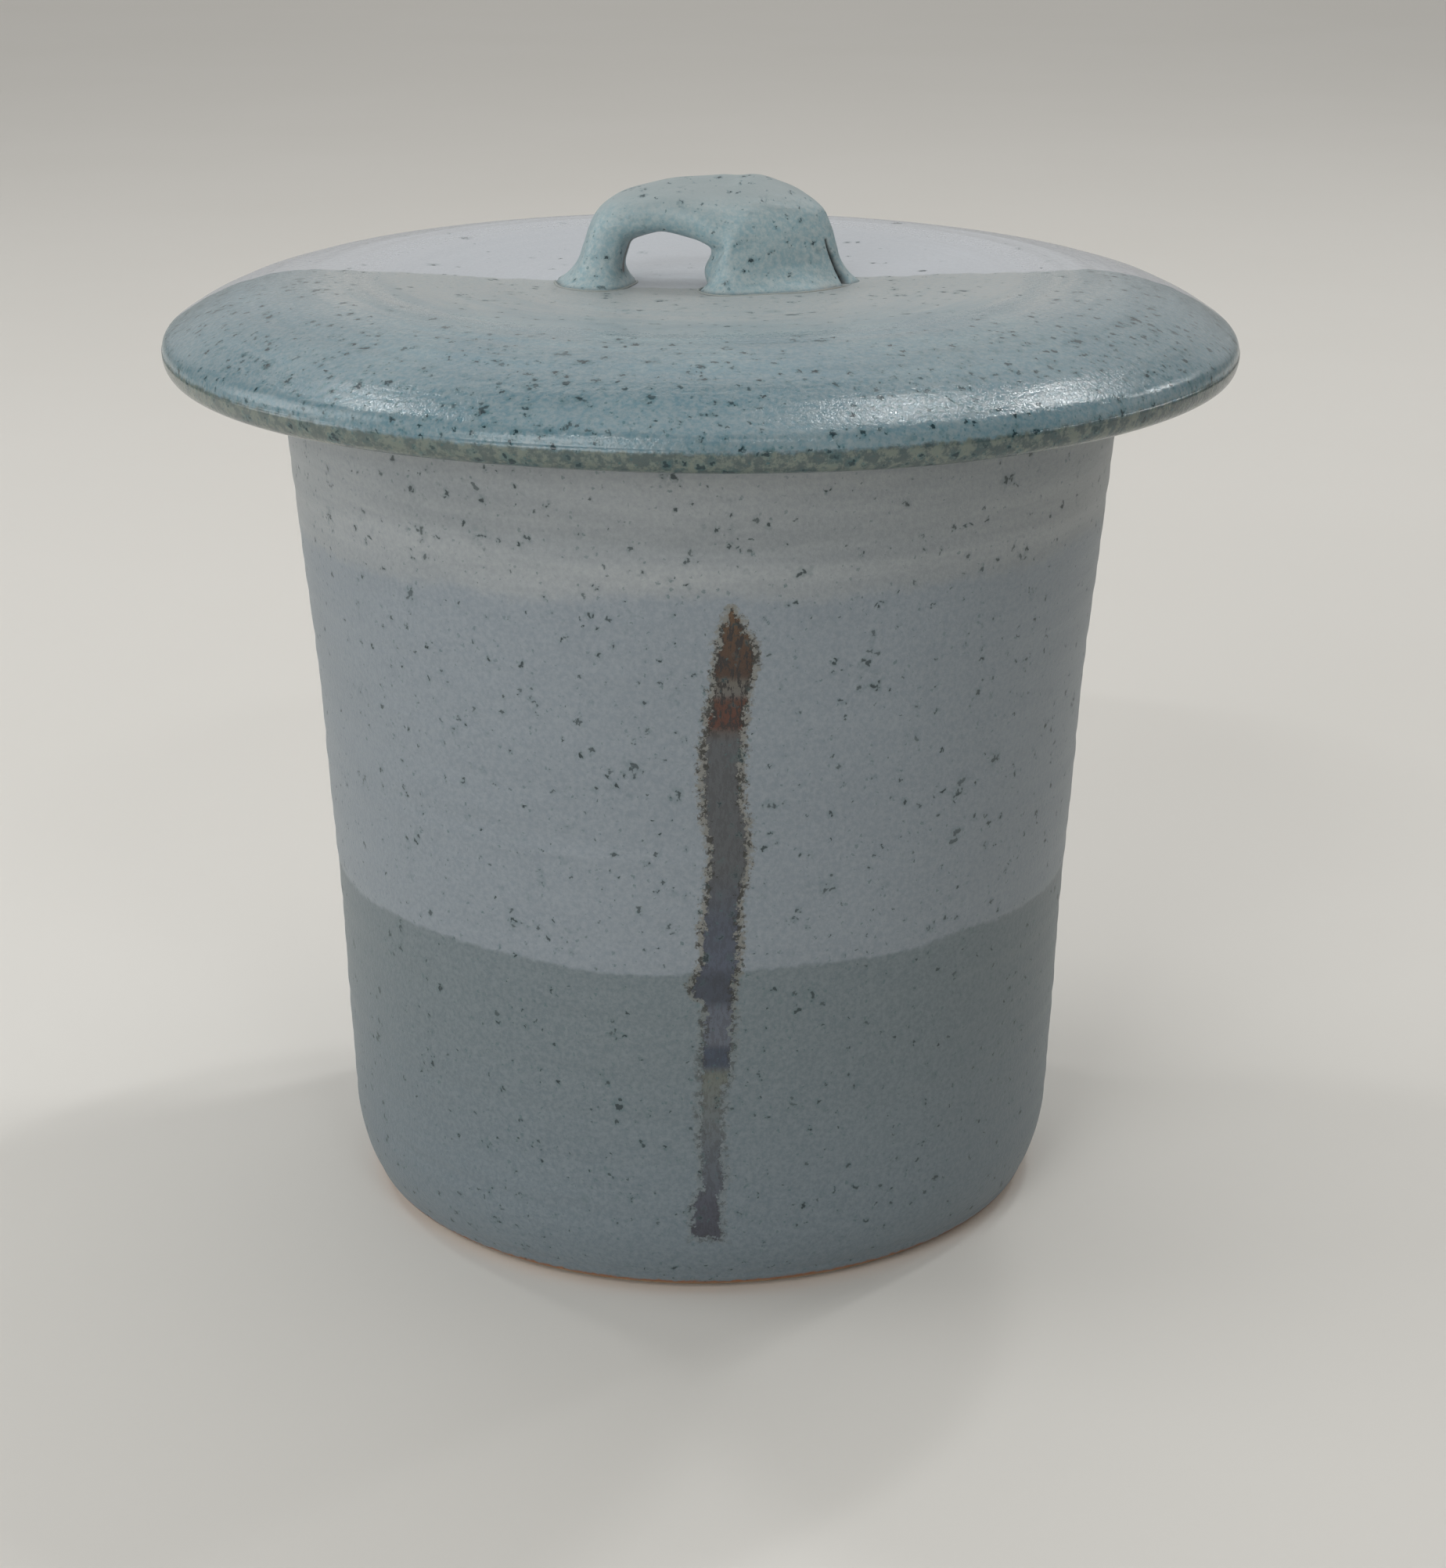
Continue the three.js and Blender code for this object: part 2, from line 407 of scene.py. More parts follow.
class IronSpecks(Effect):
    """Iron in the clay that bleeds up through the glaze: ragged dark spots, each with a soft halo."""

    NAME = "iron_specks"
    INLETS = (("Spacing", 2.2), ("Size", 0.22), ("Share", 0.5), ("Ragged", 0.35), ("Seed", 0.0))
    OUTLETS = ("Core", "Halo")
    RAG_SCALE = 3.1
    SMALLEST = 0.4
    CORE_FADE = 0.7
    HALO_FADE = (0.5, 2.3)
    FAINTEST = 0.6

    def wire(self, sheet: NodeSheet, inlet: dict[str, Socket]) -> dict[str, Socket]:
        """Wires one layer of specks: Spacing is in millimetres, and Size and Ragged are shares of it.

        Args:
            sheet: the group's own sheet.
            inlet: its inputs by name.

        Returns:
            The spots themselves and the halo round them.
        """
        pitch = sheet.times(inlet["Spacing"], MM)
        cells = sheet.scaled(inlet["Place"], sheet.math("DIVIDE", 1.0, pitch))
        moved = sheet.vector_math("ADD", cells, sheet.join(inlet["Seed"], inlet["Seed"], inlet["Seed"]))
        wobble = sheet.node("ShaderNodeTexNoise")
        sheet.feed(wobble.inputs["Vector"], moved)
        sheet.feed(wobble.inputs["Scale"], self.RAG_SCALE)
        sheet.feed(wobble.inputs["Detail"], 2.0)
        around = sheet.vector_math("SUBTRACT", wobble.outputs["Color"], (0.5, 0.5, 0.5))
        ragged = sheet.vector_math("ADD", moved, sheet.scaled(around, inlet["Ragged"]))
        cell = sheet.node("ShaderNodeTexVoronoi", feature="F1", voronoi_dimensions="3D")
        sheet.feed(cell.inputs["Vector"], ragged)
        sheet.feed(cell.inputs["Scale"], 1.0)
        chance, bulk, dark = sheet.split(cell.outputs["Color"])
        there = sheet.math("LESS_THAN", chance, inlet["Share"])
        squared = sheet.math("POWER", bulk, 2.0)
        grown = sheet.math("MULTIPLY_ADD", squared, 1.0 - self.SMALLEST, self.SMALLEST)
        radius = sheet.times(inlet["Size"], grown)
        away = cell.outputs["Distance"]
        core = sheet.fade(away, sheet.times(radius, self.CORE_FADE), radius, 1.0, 0.0)
        near, far = (sheet.times(radius, share) for share in self.HALO_FADE)
        halo = sheet.fade(away, near, far, 1.0, 0.0)
        depth = sheet.math("MULTIPLY_ADD", dark, 1.0 - self.FAINTEST, self.FAINTEST)
        seen = {"Core": core, "Halo": halo}
        return {name: sheet.times(sheet.times(mask, there), depth) for name, mask in seen.items()}


class GlazeMottle(Effect):
    """Cloudy thick and thin patches in a glaze, with a fine grain over them."""

    NAME = "glaze_mottle"
    INLETS = (("Cloud", 14.0), ("Grain", 0.7))
    OUTLETS = ("Clouds", "Grains")

    def wire(self, sheet: NodeSheet, inlet: dict[str, Socket]) -> dict[str, Socket]:
        """Wires the two layers: Cloud and Grain are their sizes in millimetres.

        Args:
            sheet: the group's own sheet.
            inlet: its inputs by name.

        Returns:
            The clouds and the grain, 0 to 1.
        """
        cloud_scale = sheet.math("DIVIDE", 1.0 / MM, inlet["Cloud"])
        grain_scale = sheet.math("DIVIDE", 1.0 / MM, inlet["Grain"])
        clouds = sheet.noise(inlet["Place"], cloud_scale, 4.0, 0.55)
        grains = sheet.noise(inlet["Place"], grain_scale, 3.0, 0.65)
        return {"Clouds": sheet.fade(clouds, 0.3, 0.7), "Grains": sheet.fade(grains, 0.28, 0.72)}


class ThrowingLines(Effect):
    """The rings that fingers leave on the wheel, and the streaks of glaze that settle in them."""

    NAME = "throwing_lines"
    INLETS = (("Along", 0.0), ("Spacing", 4.0), ("Wander", 0.15))
    OUTLETS = ("Lines",)

    def wire(self, sheet: NodeSheet, inlet: dict[str, Socket]) -> dict[str, Socket]:
        """Wires the rings: Along is the millimetres that they follow one another by, Spacing is their pitch.

        Args:
            sheet: the group's own sheet.
            inlet: its inputs by name.

        Returns:
            The rings, 0 to 1.
        """
        across = sheet.math("DIVIDE", inlet["Along"], inlet["Spacing"])
        x, y, _ = sheet.split(sheet.scaled(inlet["Place"], 0.1 / MM))
        stretched = sheet.join(sheet.times(x, inlet["Wander"]), sheet.times(y, inlet["Wander"]), across)
        return {"Lines": sheet.fade(sheet.noise(stretched, 1.0, 3.0, 0.6), 0.32, 0.68)}


class DipLine(Effect):
    """The edge that a bath of glaze leaves where the pot was dipped."""

    NAME = "dip_line"
    INLETS = (("Along", 0.0), ("Level", 0.0), ("Wobble", 0.5), ("Softness", 0.4))
    OUTLETS = ("Past",)
    QUICK_SHARE = 0.35
    SWING = 4.0

    def wire(self, sheet: NodeSheet, inlet: dict[str, Socket]) -> dict[str, Socket]:
        """Wires the edge, where Along passes Level, all in millimetres.

        Args:
            sheet: the group's own sheet.
            inlet: its inputs by name.

        Returns:
            Past, from 0 before the edge to 1 behind it.
        """
        slow = sheet.noise(inlet["Place"], 0.05 / MM, 2.0, 0.5)
        quick = sheet.noise(inlet["Place"], 0.8 / MM, 2.0, 0.5)
        both = sheet.math("MULTIPLY_ADD", quick, self.QUICK_SHARE, slow)
        swing = sheet.times(sheet.math("SUBTRACT", both, (1.0 + self.QUICK_SHARE) / 2.0), inlet["Wobble"])
        level = sheet.math("MULTIPLY_ADD", swing, self.SWING, inlet["Level"])
        low = sheet.math("SUBTRACT", level, inlet["Softness"])
        high = sheet.math("ADD", level, inlet["Softness"])
        return {"Past": sheet.fade(inlet["Along"], low, high)}


class GlazeBreak(Effect):
    """Where molten glaze runs thin off an edge and the dark clay shows through it."""

    NAME = "glaze_break"
    INLETS = (("Edge", 0.0), ("Reach", 0.5), ("Grain", 1.0))
    OUTLETS = ("Break",)

    def wire(self, sheet: NodeSheet, inlet: dict[str, Socket]) -> dict[str, Socket]:
        """Wires the break: Edge is 1 on the edge itself, Reach says how much of it breaks.

        Args:
            sheet: the group's own sheet.
            inlet: its inputs by name.

        Returns:
            How far the glaze has run off, 0 to 1.
        """
        patch = sheet.noise(inlet["Place"], sheet.math("DIVIDE", 1.0 / MM, inlet["Grain"]), 4.0, 0.7)
        uneven = sheet.math("MULTIPLY_ADD", sheet.math("SUBTRACT", patch, 0.5), 0.9, inlet["Edge"])
        start = sheet.math("SUBTRACT", 1.0, inlet["Reach"])
        return {"Break": sheet.fade(uneven, start, sheet.math("ADD", start, 0.35))}


class OxideStroke(Effect):
    """A brush of iron and cobalt oxide drawn down the front of the wall, under and over the dipped glazes.

    The stroke is laid out along its height, from STROKE_FOOT to STROKE_TOP millimetres above the table. The
    rows of LEFT and RIGHT give its two edges, as heights and the millimetres to the right of the axis there.
    """

    NAME = "oxide_stroke"
    OUTLETS = ("Paint", "Edge", "Fleck", "Serration", "Height")
    STROKE_FOOT = 8.2
    STROKE_TOP = 85.6
    SPREAD = 12.0
    BRISTLES = 2.2
    NIBBLES = 2.0
    STREAK_SCALES = (2.2, 2.2, 0.8)
    LEFT = (
        (8.2, -0.7), (12.0, -0.8), (15.5, 0.4), (22.0, 0.2), (31.0, 0.3), (37.8, 0.8), (40.1, -0.8),
        (42.7, 0.3), (49.6, 0.6), (56.3, 1.4), (62.9, 0.5), (68.2, 0.5), (72.0, 1.0), (78.4, 1.8),
        (82.7, 2.4), (85.6, 3.5),
    )
    RIGHT = (
        (8.2, 2.7), (13.4, 2.4), (15.7, 3.0), (19.4, 2.7), (26.7, 2.7), (29.9, 3.6), (39.7, 3.9),
        (44.0, 4.4), (50.8, 4.6), (56.1, 5.3), (59.9, 5.3), (62.8, 4.7), (71.9, 4.9), (77.0, 5.5),
        (79.5, 6.2), (81.5, 5.7), (84.6, 4.3), (85.6, 3.7),
    )

    def share(self, height: float) -> float:
        """A height as a share of the stroke's length."""
        return (height - self.STROKE_FOOT) / (self.STROKE_TOP - self.STROKE_FOOT)

    def edge(self, sheet: NodeSheet, run: Socket, rows: tuple[tuple[float, float], ...]) -> Socket:
        """Draws one edge of the stroke.

        Args:
            sheet: the group's own sheet.
            run: how far up the stroke, 0 to 1.
            rows: the edge's heights and places.

        Returns:
            The edge's place in millimetres.
        """
        half = self.SPREAD / 2.0
        points = tuple((self.share(height), (place + half) / self.SPREAD) for height, place in rows)
        return sheet.math("MULTIPLY_ADD", sheet.curve(run, points), self.SPREAD, -half)

    def wire(self, sheet: NodeSheet, inlet: dict[str, Socket]) -> dict[str, Socket]:
        """Wires the stroke.

        Args:
            sheet: the group's own sheet.
            inlet: its inputs by name.

        Returns:
            The paint, its edge, its flecks, the teeth of its edge, and how far up it is.
        """
        length = self.STROKE_TOP - self.STROKE_FOOT
        x, y, z = sheet.split(sheet.scaled(inlet["Place"], 1.0 / MM))
        run = sheet.math("DIVIDE", sheet.math("SUBTRACT", z, self.STROKE_FOOT), length)
        left = self.edge(sheet, run, self.LEFT)
        right = self.edge(sheet, run, self.RIGHT)
        inside = sheet.math("MINIMUM", sheet.math("SUBTRACT", x, left), sheet.math("SUBTRACT", right, x))
        above = sheet.math("SUBTRACT", z, self.STROKE_FOOT)
        below = sheet.math("SUBTRACT", self.STROKE_TOP, z)
        within = sheet.math("MINIMUM", above, below)
        depth = sheet.math("MINIMUM", inside, within)
        bristle = sheet.noise(inlet["Place"], 0.9 / MM, 4.0, 0.7)
        nibble = sheet.noise(inlet["Place"], 2.2 / MM, 3.0, 0.7)
        ragged = sheet.math("MULTIPLY_ADD", sheet.math("SUBTRACT", bristle, 0.5), self.BRISTLES, depth)
        ragged = sheet.math("MULTIPLY_ADD", sheet.math("SUBTRACT", nibble, 0.5), self.NIBBLES, ragged)
        front = sheet.math("LESS_THAN", y, 0.0)
        paint = sheet.times(sheet.fade(ragged, 0.0, 0.3), front)
        outer = sheet.fade(ragged, -0.9, -0.2)
        inner = sheet.fade(ragged, 0.2, 0.6)
        rim = sheet.times(sheet.times(outer, sheet.math("SUBTRACT", 1.0, inner)), front)
        stretched = (sheet.times(part, scale) for part, scale in zip((x, y, z), self.STREAK_SCALES))
        streak = sheet.join(*stretched)
        fleck = sheet.fade(sheet.noise(streak, 1.0, 3.0, 0.75), 0.48, 0.55)
        serrated = sheet.fade(sheet.noise(inlet["Place"], 1.2 / MM, 3.0, 0.7), 0.5, 0.56)
        return {"Paint": paint, "Edge": rim, "Fleck": fleck, "Serration": serrated, "Height": run}


# ---------------------------------------------------------------- finishes


@dataclass(frozen=True)
class Clay:
    """Bare stoneware where no glaze was left: buff, gritty, and toasted orange beside the glaze."""

    buff: Colour = tint(176, 152, 124)
    toast: Colour = tint(150, 98, 62)
    grit: Colour = tint(74, 56, 44)
    roughness: float = 0.86

    def cover(self, sheet: NodeSheet, vector: Socket, colour: Socket, rough: Wire) -> tuple[Socket, Socket]:
        """Lays the clay over a glaze, wherever the mesh says that it is bare.

        Args:
            sheet: the finish's sheet.
            vector: where the surface is, in metres.
            colour: the glaze's colour.
            rough: the glaze's roughness.

        Returns:
            The colour and the roughness of both together.
        """
        uneven = sheet.math("SUBTRACT", sheet.noise(vector, 0.9 / MM, 3.0, 0.6), 0.5)
        edge = sheet.math("MULTIPLY_ADD", uneven, 0.5, sheet.painted("clay"))
        shows = sheet.fade(edge, 0.4, 0.62)
        toasted = sheet.fade(edge, 0.55, 1.05, 1.0, 0.0)
        grit = IronSpecks().place(sheet, vector, Spacing=1.1, Size=0.26, Share=0.6, Ragged=0.4, Seed=4.0)
        bare = sheet.blend(toasted, self.buff, self.toast)
        bare = sheet.blend(sheet.times(grit["Core"], 0.7), bare, self.grit)
        return sheet.blend(shows, colour, bare), sheet.between(shows, rough, self.roughness)


@dataclass(frozen=True)
class Speckling:
    """Big, coarse and fine iron specks in one glaze.

    The rows of layers give each size's spacing in millimetres, its size and raggedness as shares of that,
    and the seed of its places.
    """

    layers: tuple[tuple[float, float, float, float], ...]
    speck: Colour
    halo: Colour
    big_halo: float
    coarse_halo: float = 0.45

    def lay(
        self, sheet: NodeSheet, vector: Socket, colour: Socket, shares: tuple[Wire, ...]
    ) -> tuple[Socket, Socket]:
        """Lays the specks over a glaze.

        Args:
            sheet: the finish's sheet.
            vector: where the surface is, in metres.
            colour: the glaze's colour.
            shares: how much of each size's places hold a speck.

        Returns:
            The colour with specks, and the coarse specks' own mask.
        """
        big, coarse, fine = (
            IronSpecks().place(sheet, vector, Spacing=pitch, Size=size, Share=share, Ragged=ragged, Seed=seed)
            for (pitch, size, ragged, seed), share in zip(self.layers, shares)
        )
        for mask, strength, tone in (
            (big["Halo"], self.big_halo, self.halo),
            (coarse["Halo"], self.coarse_halo, self.halo),
            (fine["Core"], 0.6, self.halo),
            (coarse["Core"], 0.95, self.speck),
            (big["Core"], 0.9, self.speck),
        ):
            colour = sheet.blend(sheet.times(mask, strength), colour, tone)
        return colour, coarse["Core"]


BODY_SPECKS = Speckling(
    layers=((3.6, 0.2, 1.1, 5.0), (1.7, 0.22, 0.8, 0.0), (1.0, 0.26, 0.7, 9.0)),
    speck=tint(34, 48, 52),
    halo=tint(70, 96, 98),
    big_halo=0.4,
    coarse_halo=0.4,
)
LID_SPECKS = Speckling(
    layers=((2.5, 0.27, 0.9, 3.0), (1.4, 0.33, 0.8, 2.0), (0.75, 0.3, 0.6, 7.0)),
    speck=tint(14, 40, 48),
    halo=tint(46, 92, 98),
    big_halo=0.5,
)
STRAP_SPECKS = replace(
    LID_SPECKS, layers=((2.5, 0.2, 0.9, 3.0), (1.4, 0.26, 0.8, 2.0), (0.75, 0.3, 0.6, 7.0))
)


@dataclass(frozen=True)
class SlateGlaze:
    """The body's three dips of slate-blue glaze, with iron specks and the painted stroke."""

    name: str = "slate_glaze"
    heel: Colour = tint(104, 118, 126)
    deep: Colour = tint(99, 112, 117)
    middle: Colour = tint(131, 141, 149)
    # The collar is the paler upper dip, made paler still: painted light that lifts the lid's shadow on it.
    collar: Colour = tint(155, 160, 162)
    shade: Colour = tint(92, 104, 112)
    stroke_halo: Colour = tint(108, 98, 72)
    stroke_edge: Colour = tint(34, 34, 32)
    stroke_fleck: Colour = tint(30, 24, 22)
    lower_dip: float = 42.3
    upper_dip: float = 86.0
    roughness: float = 0.44
    clay: Clay = Clay()
    specks: Speckling = BODY_SPECKS
    speck_shares: tuple[float, ...] = (0.5, 0.75, 0.85)

    def stroke_colour(self, sheet: NodeSheet, height: Socket, fleck: Socket) -> Socket:
        """Colours the painted stroke along its height.

        Args:
            sheet: the finish's sheet.
            height: how far up the stroke, 0 to 1.
            fleck: where the brush left dark flecks.

        Returns:
            The colour.
        """
        made = sheet.node("ShaderNodeValToRGB")
        ramp = made.color_ramp
        ramp.interpolation = "LINEAR"
        zones = (
            (0.0, tint(62, 64, 74)), (0.065, tint(70, 73, 84)), (0.09, tint(78, 84, 93)),
            (0.15, tint(84, 91, 98)), (0.2, tint(94, 101, 104)), (0.275, tint(98, 103, 96)),
            (0.29, tint(56, 66, 82)), (0.315, tint(56, 66, 82)), (0.325, tint(88, 94, 105)),
            (0.38, tint(84, 90, 102)), (0.395, tint(56, 62, 74)), (0.43, tint(54, 60, 72)),
            (0.45, tint(70, 77, 92)), (0.52, tint(66, 73, 86)),
            (0.6, tint(74, 77, 80)), (0.8, tint(76, 79, 82)),
            (0.815, tint(76, 70, 66)), (0.825, tint(78, 37, 18)), (0.862, tint(76, 40, 20)),
            (0.872, tint(92, 90, 86)), (0.89, tint(92, 88, 80)), (0.9, tint(60, 38, 22)),
            (0.94, tint(70, 46, 24)), (1.0, tint(86, 62, 36)),
        )
        while len(ramp.elements) < len(zones):
            ramp.elements.new(0.5)
        for element, (place, colour) in zip(ramp.elements, zones):
            element.position = place
            element.color = (*colour, 1.0)
        sheet.feed(made.inputs[0], height)
        iron = sheet.fade(height, 0.8, 0.83)
        strength = sheet.between(iron, 0.25, 0.95)
        return sheet.blend(sheet.times(fleck, strength), made.outputs[0], self.stroke_fleck)

    def material(self) -> bpy.types.Material:
        """Makes the finish.

        Returns:
            The material.
        """
        made = bpy.data.materials.new(self.name)
        made.use_nodes = True
        sheet = NodeSheet(made.node_tree)
        place = sheet.node("ShaderNodeTexCoord").outputs["Object"]
        _, _, z = sheet.split(sheet.scaled(place, 1.0 / MM))
        mottle = GlazeMottle().place(sheet, place, Cloud=16.0, Grain=0.55)
        lines = ThrowingLines().place(sheet, place, Along=z, Spacing=3.4, Wander=0.3)["Lines"]
        past_lower, past_upper = (
            DipLine().place(sheet, place, Along=z, Level=level, Wobble=wobble, Softness=softness)["Past"]
            for level, wobble, softness in ((self.lower_dip, 0.7, 0.35), (self.upper_dip, 1.4, 1.1))
        )
        colour = sheet.blend(sheet.fade(z, 8.0, 36.0), self.heel, self.deep)
        colour = sheet.blend(past_lower, colour, self.middle)
        # The upper dip: its own paler glaze, and painted light against the lid's shadow.
        colour = sheet.blend(past_upper, colour, self.collar)
        streaks = sheet.times(lines, sheet.between(past_upper, 0.06, 0.3))
        colour = sheet.blend(streaks, colour, self.shade)
        colour = sheet.blend(sheet.times(mottle["Clouds"], 0.12), colour, self.shade)
        colour = sheet.blend(0.22, colour, sheet.blend(mottle["Grains"], self.shade, self.collar))
        stroke = OxideStroke().place(sheet, place)
        outside = sheet.painted("outside")
        painted = sheet.times(stroke["Paint"], outside)
        brushed = sheet.times(stroke["Edge"], outside)
        halo_paint = sheet.times(brushed, sheet.fade(stroke["Height"], 0.3, 0.5, 0.1, 0.5))
        colour = sheet.blend(halo_paint, colour, self.stroke_halo)
        paint = self.stroke_colour(sheet, stroke["Height"], stroke["Fleck"])
        colour = sheet.blend(sheet.times(painted, 0.95), colour, paint)
        dark_edge = sheet.times(brushed, stroke["Serration"])
        flecked = sheet.times(dark_edge, sheet.fade(stroke["Height"], 0.25, 0.45, 0.45, 0.85))
        colour = sheet.blend(flecked, colour, self.stroke_edge)
        colour, pits = self.specks.lay(sheet, place, colour, self.speck_shares)
        thin = GlazeBreak().place(sheet, place, Edge=sheet.painted("edge"), Reach=0.45, Grain=1.2)["Break"]
        colour = sheet.blend(sheet.times(thin, 0.5), colour, self.clay.toast)
        uneven = sheet.math("MULTIPLY_ADD", mottle["Grains"], 0.12, self.roughness - 0.06)
        colour, rough = self.clay.cover(sheet, place, colour, uneven)
        relief = sheet.math("MULTIPLY_ADD", mottle["Grains"], 0.35, sheet.times(lines, 0.65))
        pitted = sheet.math("MULTIPLY_ADD", pits, -0.5, relief)
        sheet.surface(colour, rough, sheet.bump(pitted, RELIEF))
        return made


@dataclass(frozen=True)
class TealGlaze:
    """The lid's glossy glaze: speckled teal over the front half, pale blue-grey over the rear."""

    name: str = "teal_glaze"
    teal: Colour = tint(128, 156, 164)
    deep: Colour = tint(98, 132, 146)
    cream: Colour = tint(176, 178, 176)
    lip: Colour = tint(92, 122, 132)
    rear: Colour = tint(186, 191, 197)
    olive: Colour = tint(104, 110, 97)
    dark: Colour = tint(40, 52, 52)
    depths: Colour = tint(34, 28, 24)
    brown: Colour = tint(96, 62, 40)
    # Painted light: a paler teal that lightens the whole strap, so its front face, which the lamps light
    # little, reads brighter.
    strap_painted_light: Colour = tint(174, 202, 206)
    # Painted shade: a greyer, darker teal for the strap's top, where the light from above falls strongest.
    strap_top_painted_shade: Colour = tint(150, 162, 164)
    slip: Colour = tint(150, 152, 146)
    roughness: float = 0.17
    satin: float = 0.46
    strap: bool = False
    clay: Clay = Clay()
    specks: Speckling = LID_SPECKS

    # Where the teal's edge crosses the lid: places to the right, and how far behind the middle it is there.
    CHORD = (
        (-64.0, -1.0), (-51.0, 2.6), (-41.0, -0.4), (-28.0, 0.5), (-18.0, 0.0), (-12.0, -3.0), (-2.0, -5.2),
        (8.0, -6.0), (15.0, -4.0), (19.0, 3.2), (28.0, 3.0), (40.0, 0.4), (50.0, 3.6), (64.0, 2.0),
    )

    def ahead_of_chord(self, sheet: NodeSheet, x: Socket, y: Socket) -> Socket:
        """How far in front of the teal's edge a place is.

        Args:
            sheet: the finish's sheet.
            x: the place to the right, in millimetres.
            y: the place towards the back.

        Returns:
            The millimetres, less than 0 behind the edge.
        """
        points = tuple(((right + 64.0) / 128.0, (back + 10.0) / 20.0) for right, back in self.CHORD)
        run = sheet.math("MULTIPLY_ADD", x, 1.0 / 128.0, 0.5)
        edge = sheet.math("MULTIPLY_ADD", sheet.curve(run, points), 20.0, -10.0)
        return sheet.math("SUBTRACT", edge, y)

    def lid_colour(
        self, sheet: NodeSheet, colour: Socket, lines: Socket, front: Socket, radius: Socket
    ) -> Socket:
        """Lays the cream ring and the streaky, darker lip over the lid's teal.

        Args:
            sheet: the finish's sheet.
            colour: the teal.
            lines: the throwing lines.
            front: how far in front of the teal's edge a place is, in millimetres.
            radius: how far from the middle it is.

        Returns:
            The colour.
        """
        reach = sheet.math("MULTIPLY_ADD", lines, 16.0, front)
        ahead = sheet.fade(reach, 16.0, 48.0, 1.0, 0.0)
        band = sheet.times(ahead, sheet.fade(radius, 40.0, 58.0, 1.0, 0.0))
        colour = sheet.blend(sheet.times(band, 0.85), colour, self.cream)
        near_lip = sheet.fade(sheet.math("MULTIPLY_ADD", lines, 13.0, radius), 42.0, 68.0)
        return sheet.blend(sheet.times(near_lip, 0.8), colour, self.lip)

    def lip_break_and_shade(self, sheet: NodeSheet, place: Socket, x: Socket, colour: Socket) -> Socket:
        """Darkens the band under the lip's crest, partly thin glaze breaking over the edge and partly painted
        shade: olive to the left and almost black to the right.

        Args:
            sheet: the finish's sheet.
            place: where the surface is, in metres.
            x: the place to the right, in millimetres.
            colour: the glaze.

        Returns:
            The colour.
        """
        edge = sheet.painted("edge")
        thin = GlazeBreak().place(sheet, place, Edge=edge, Reach=0.6, Grain=1.3)["Break"]
        blotch = sheet.fade(sheet.noise(place, 0.7 / MM, 4.0, 0.75), 0.42, 0.56)
        side = sheet.fade(sheet.math("MULTIPLY_ADD", blotch, 20.0, x), -50.0, 50.0, 0.55, 0.85)
        tone = sheet.blend(sheet.times(blotch, side), self.olive, self.dark)
        return sheet.blend(sheet.times(thin, 0.8), colour, tone)

    def material(self) -> bpy.types.Material:
        """Makes the finish.

        Returns:
            The material.
        """
        made = bpy.data.materials.new(self.name)
        made.use_nodes = True
        sheet = NodeSheet(made.node_tree)
        place = sheet.node("ShaderNodeTexCoord").outputs["Object"]
        x, y, z = sheet.split(sheet.scaled(place, 1.0 / MM))
        radius = sheet.vector_math("LENGTH", sheet.join(x, y, 0.0))
        mottle = GlazeMottle().place(sheet, place, Cloud=9.0, Grain=0.6)
        along = z if self.strap else radius
        lines = ThrowingLines().place(sheet, place, Along=along, Spacing=3.2, Wander=0.35)["Lines"]
        front = self.ahead_of_chord(sheet, x, y)
        past = DipLine().place(sheet, place, Along=front, Level=0.0, Wobble=0.7, Softness=0.5)["Past"]
        if self.strap:
            past = sheet.fade(z, -1.0, 0.0)
        colour = sheet.blend(mottle["Clouds"], self.teal, self.deep)
        colour = sheet.blend(sheet.times(lines, 0.35), colour, self.cream)
        if not self.strap:
            colour = self.lid_colour(sheet, colour, lines, front, radius)
        grains = sheet.blend(mottle["Grains"], self.deep, self.cream)
        colour = sheet.blend(0.3, colour, grains)
        if self.strap:
            # Painted light: the strap is lightened all over, for its dimly lit front face.
            colour = sheet.blend(0.65, colour, self.strap_painted_light)
            colour = sheet.blend(0.45, colour, grains)
            # Painted shade: the strap's top turns greyer and darker, against the strong light from above.
            colour = sheet.blend(sheet.fade(z, 119.5, 123.5), colour, self.strap_top_painted_shade)
        colour = sheet.blend(past, self.rear, colour)
        outward = 0.5 if self.strap else sheet.fade(radius, 36.0, 62.0)
        amount = sheet.math("MULTIPLY_ADD", past, sheet.math("MULTIPLY_ADD", outward, 0.55, 0.22), 0.04)
        # The band under the lip: thin glaze, and partly painted shade.
        colour = self.lip_break_and_shade(sheet, place, x, colour)
        colour, _ = self.specks.lay(sheet, place, colour, (amount, amount, amount))
        if self.strap:
            colour = sheet.blend(sheet.times(sheet.painted("hole_edge"), 0.85), colour, self.brown)
            colour = sheet.blend(sheet.painted("slip"), colour, self.slip)
            # Darkens the crack, and the line along the strap's foot where it meets the lid.
            colour = sheet.blend(sheet.painted("crack"), colour, self.depths)
        satin = self.satin if self.strap else sheet.fade(radius, 26.0, 50.0, self.satin, self.roughness)
        uneven = sheet.math("MULTIPLY_ADD", mottle["Grains"], 0.1, sheet.math("SUBTRACT", satin, 0.05))
        colour, rough = self.clay.cover(sheet, place, colour, uneven)
        relief = sheet.math("MULTIPLY_ADD", mottle["Grains"], 0.3, sheet.times(lines, 0.7))
        sheet.surface(colour, rough, sheet.bump(relief, RELIEF))
        return made


# ---------------------------------------------------------------- shapes


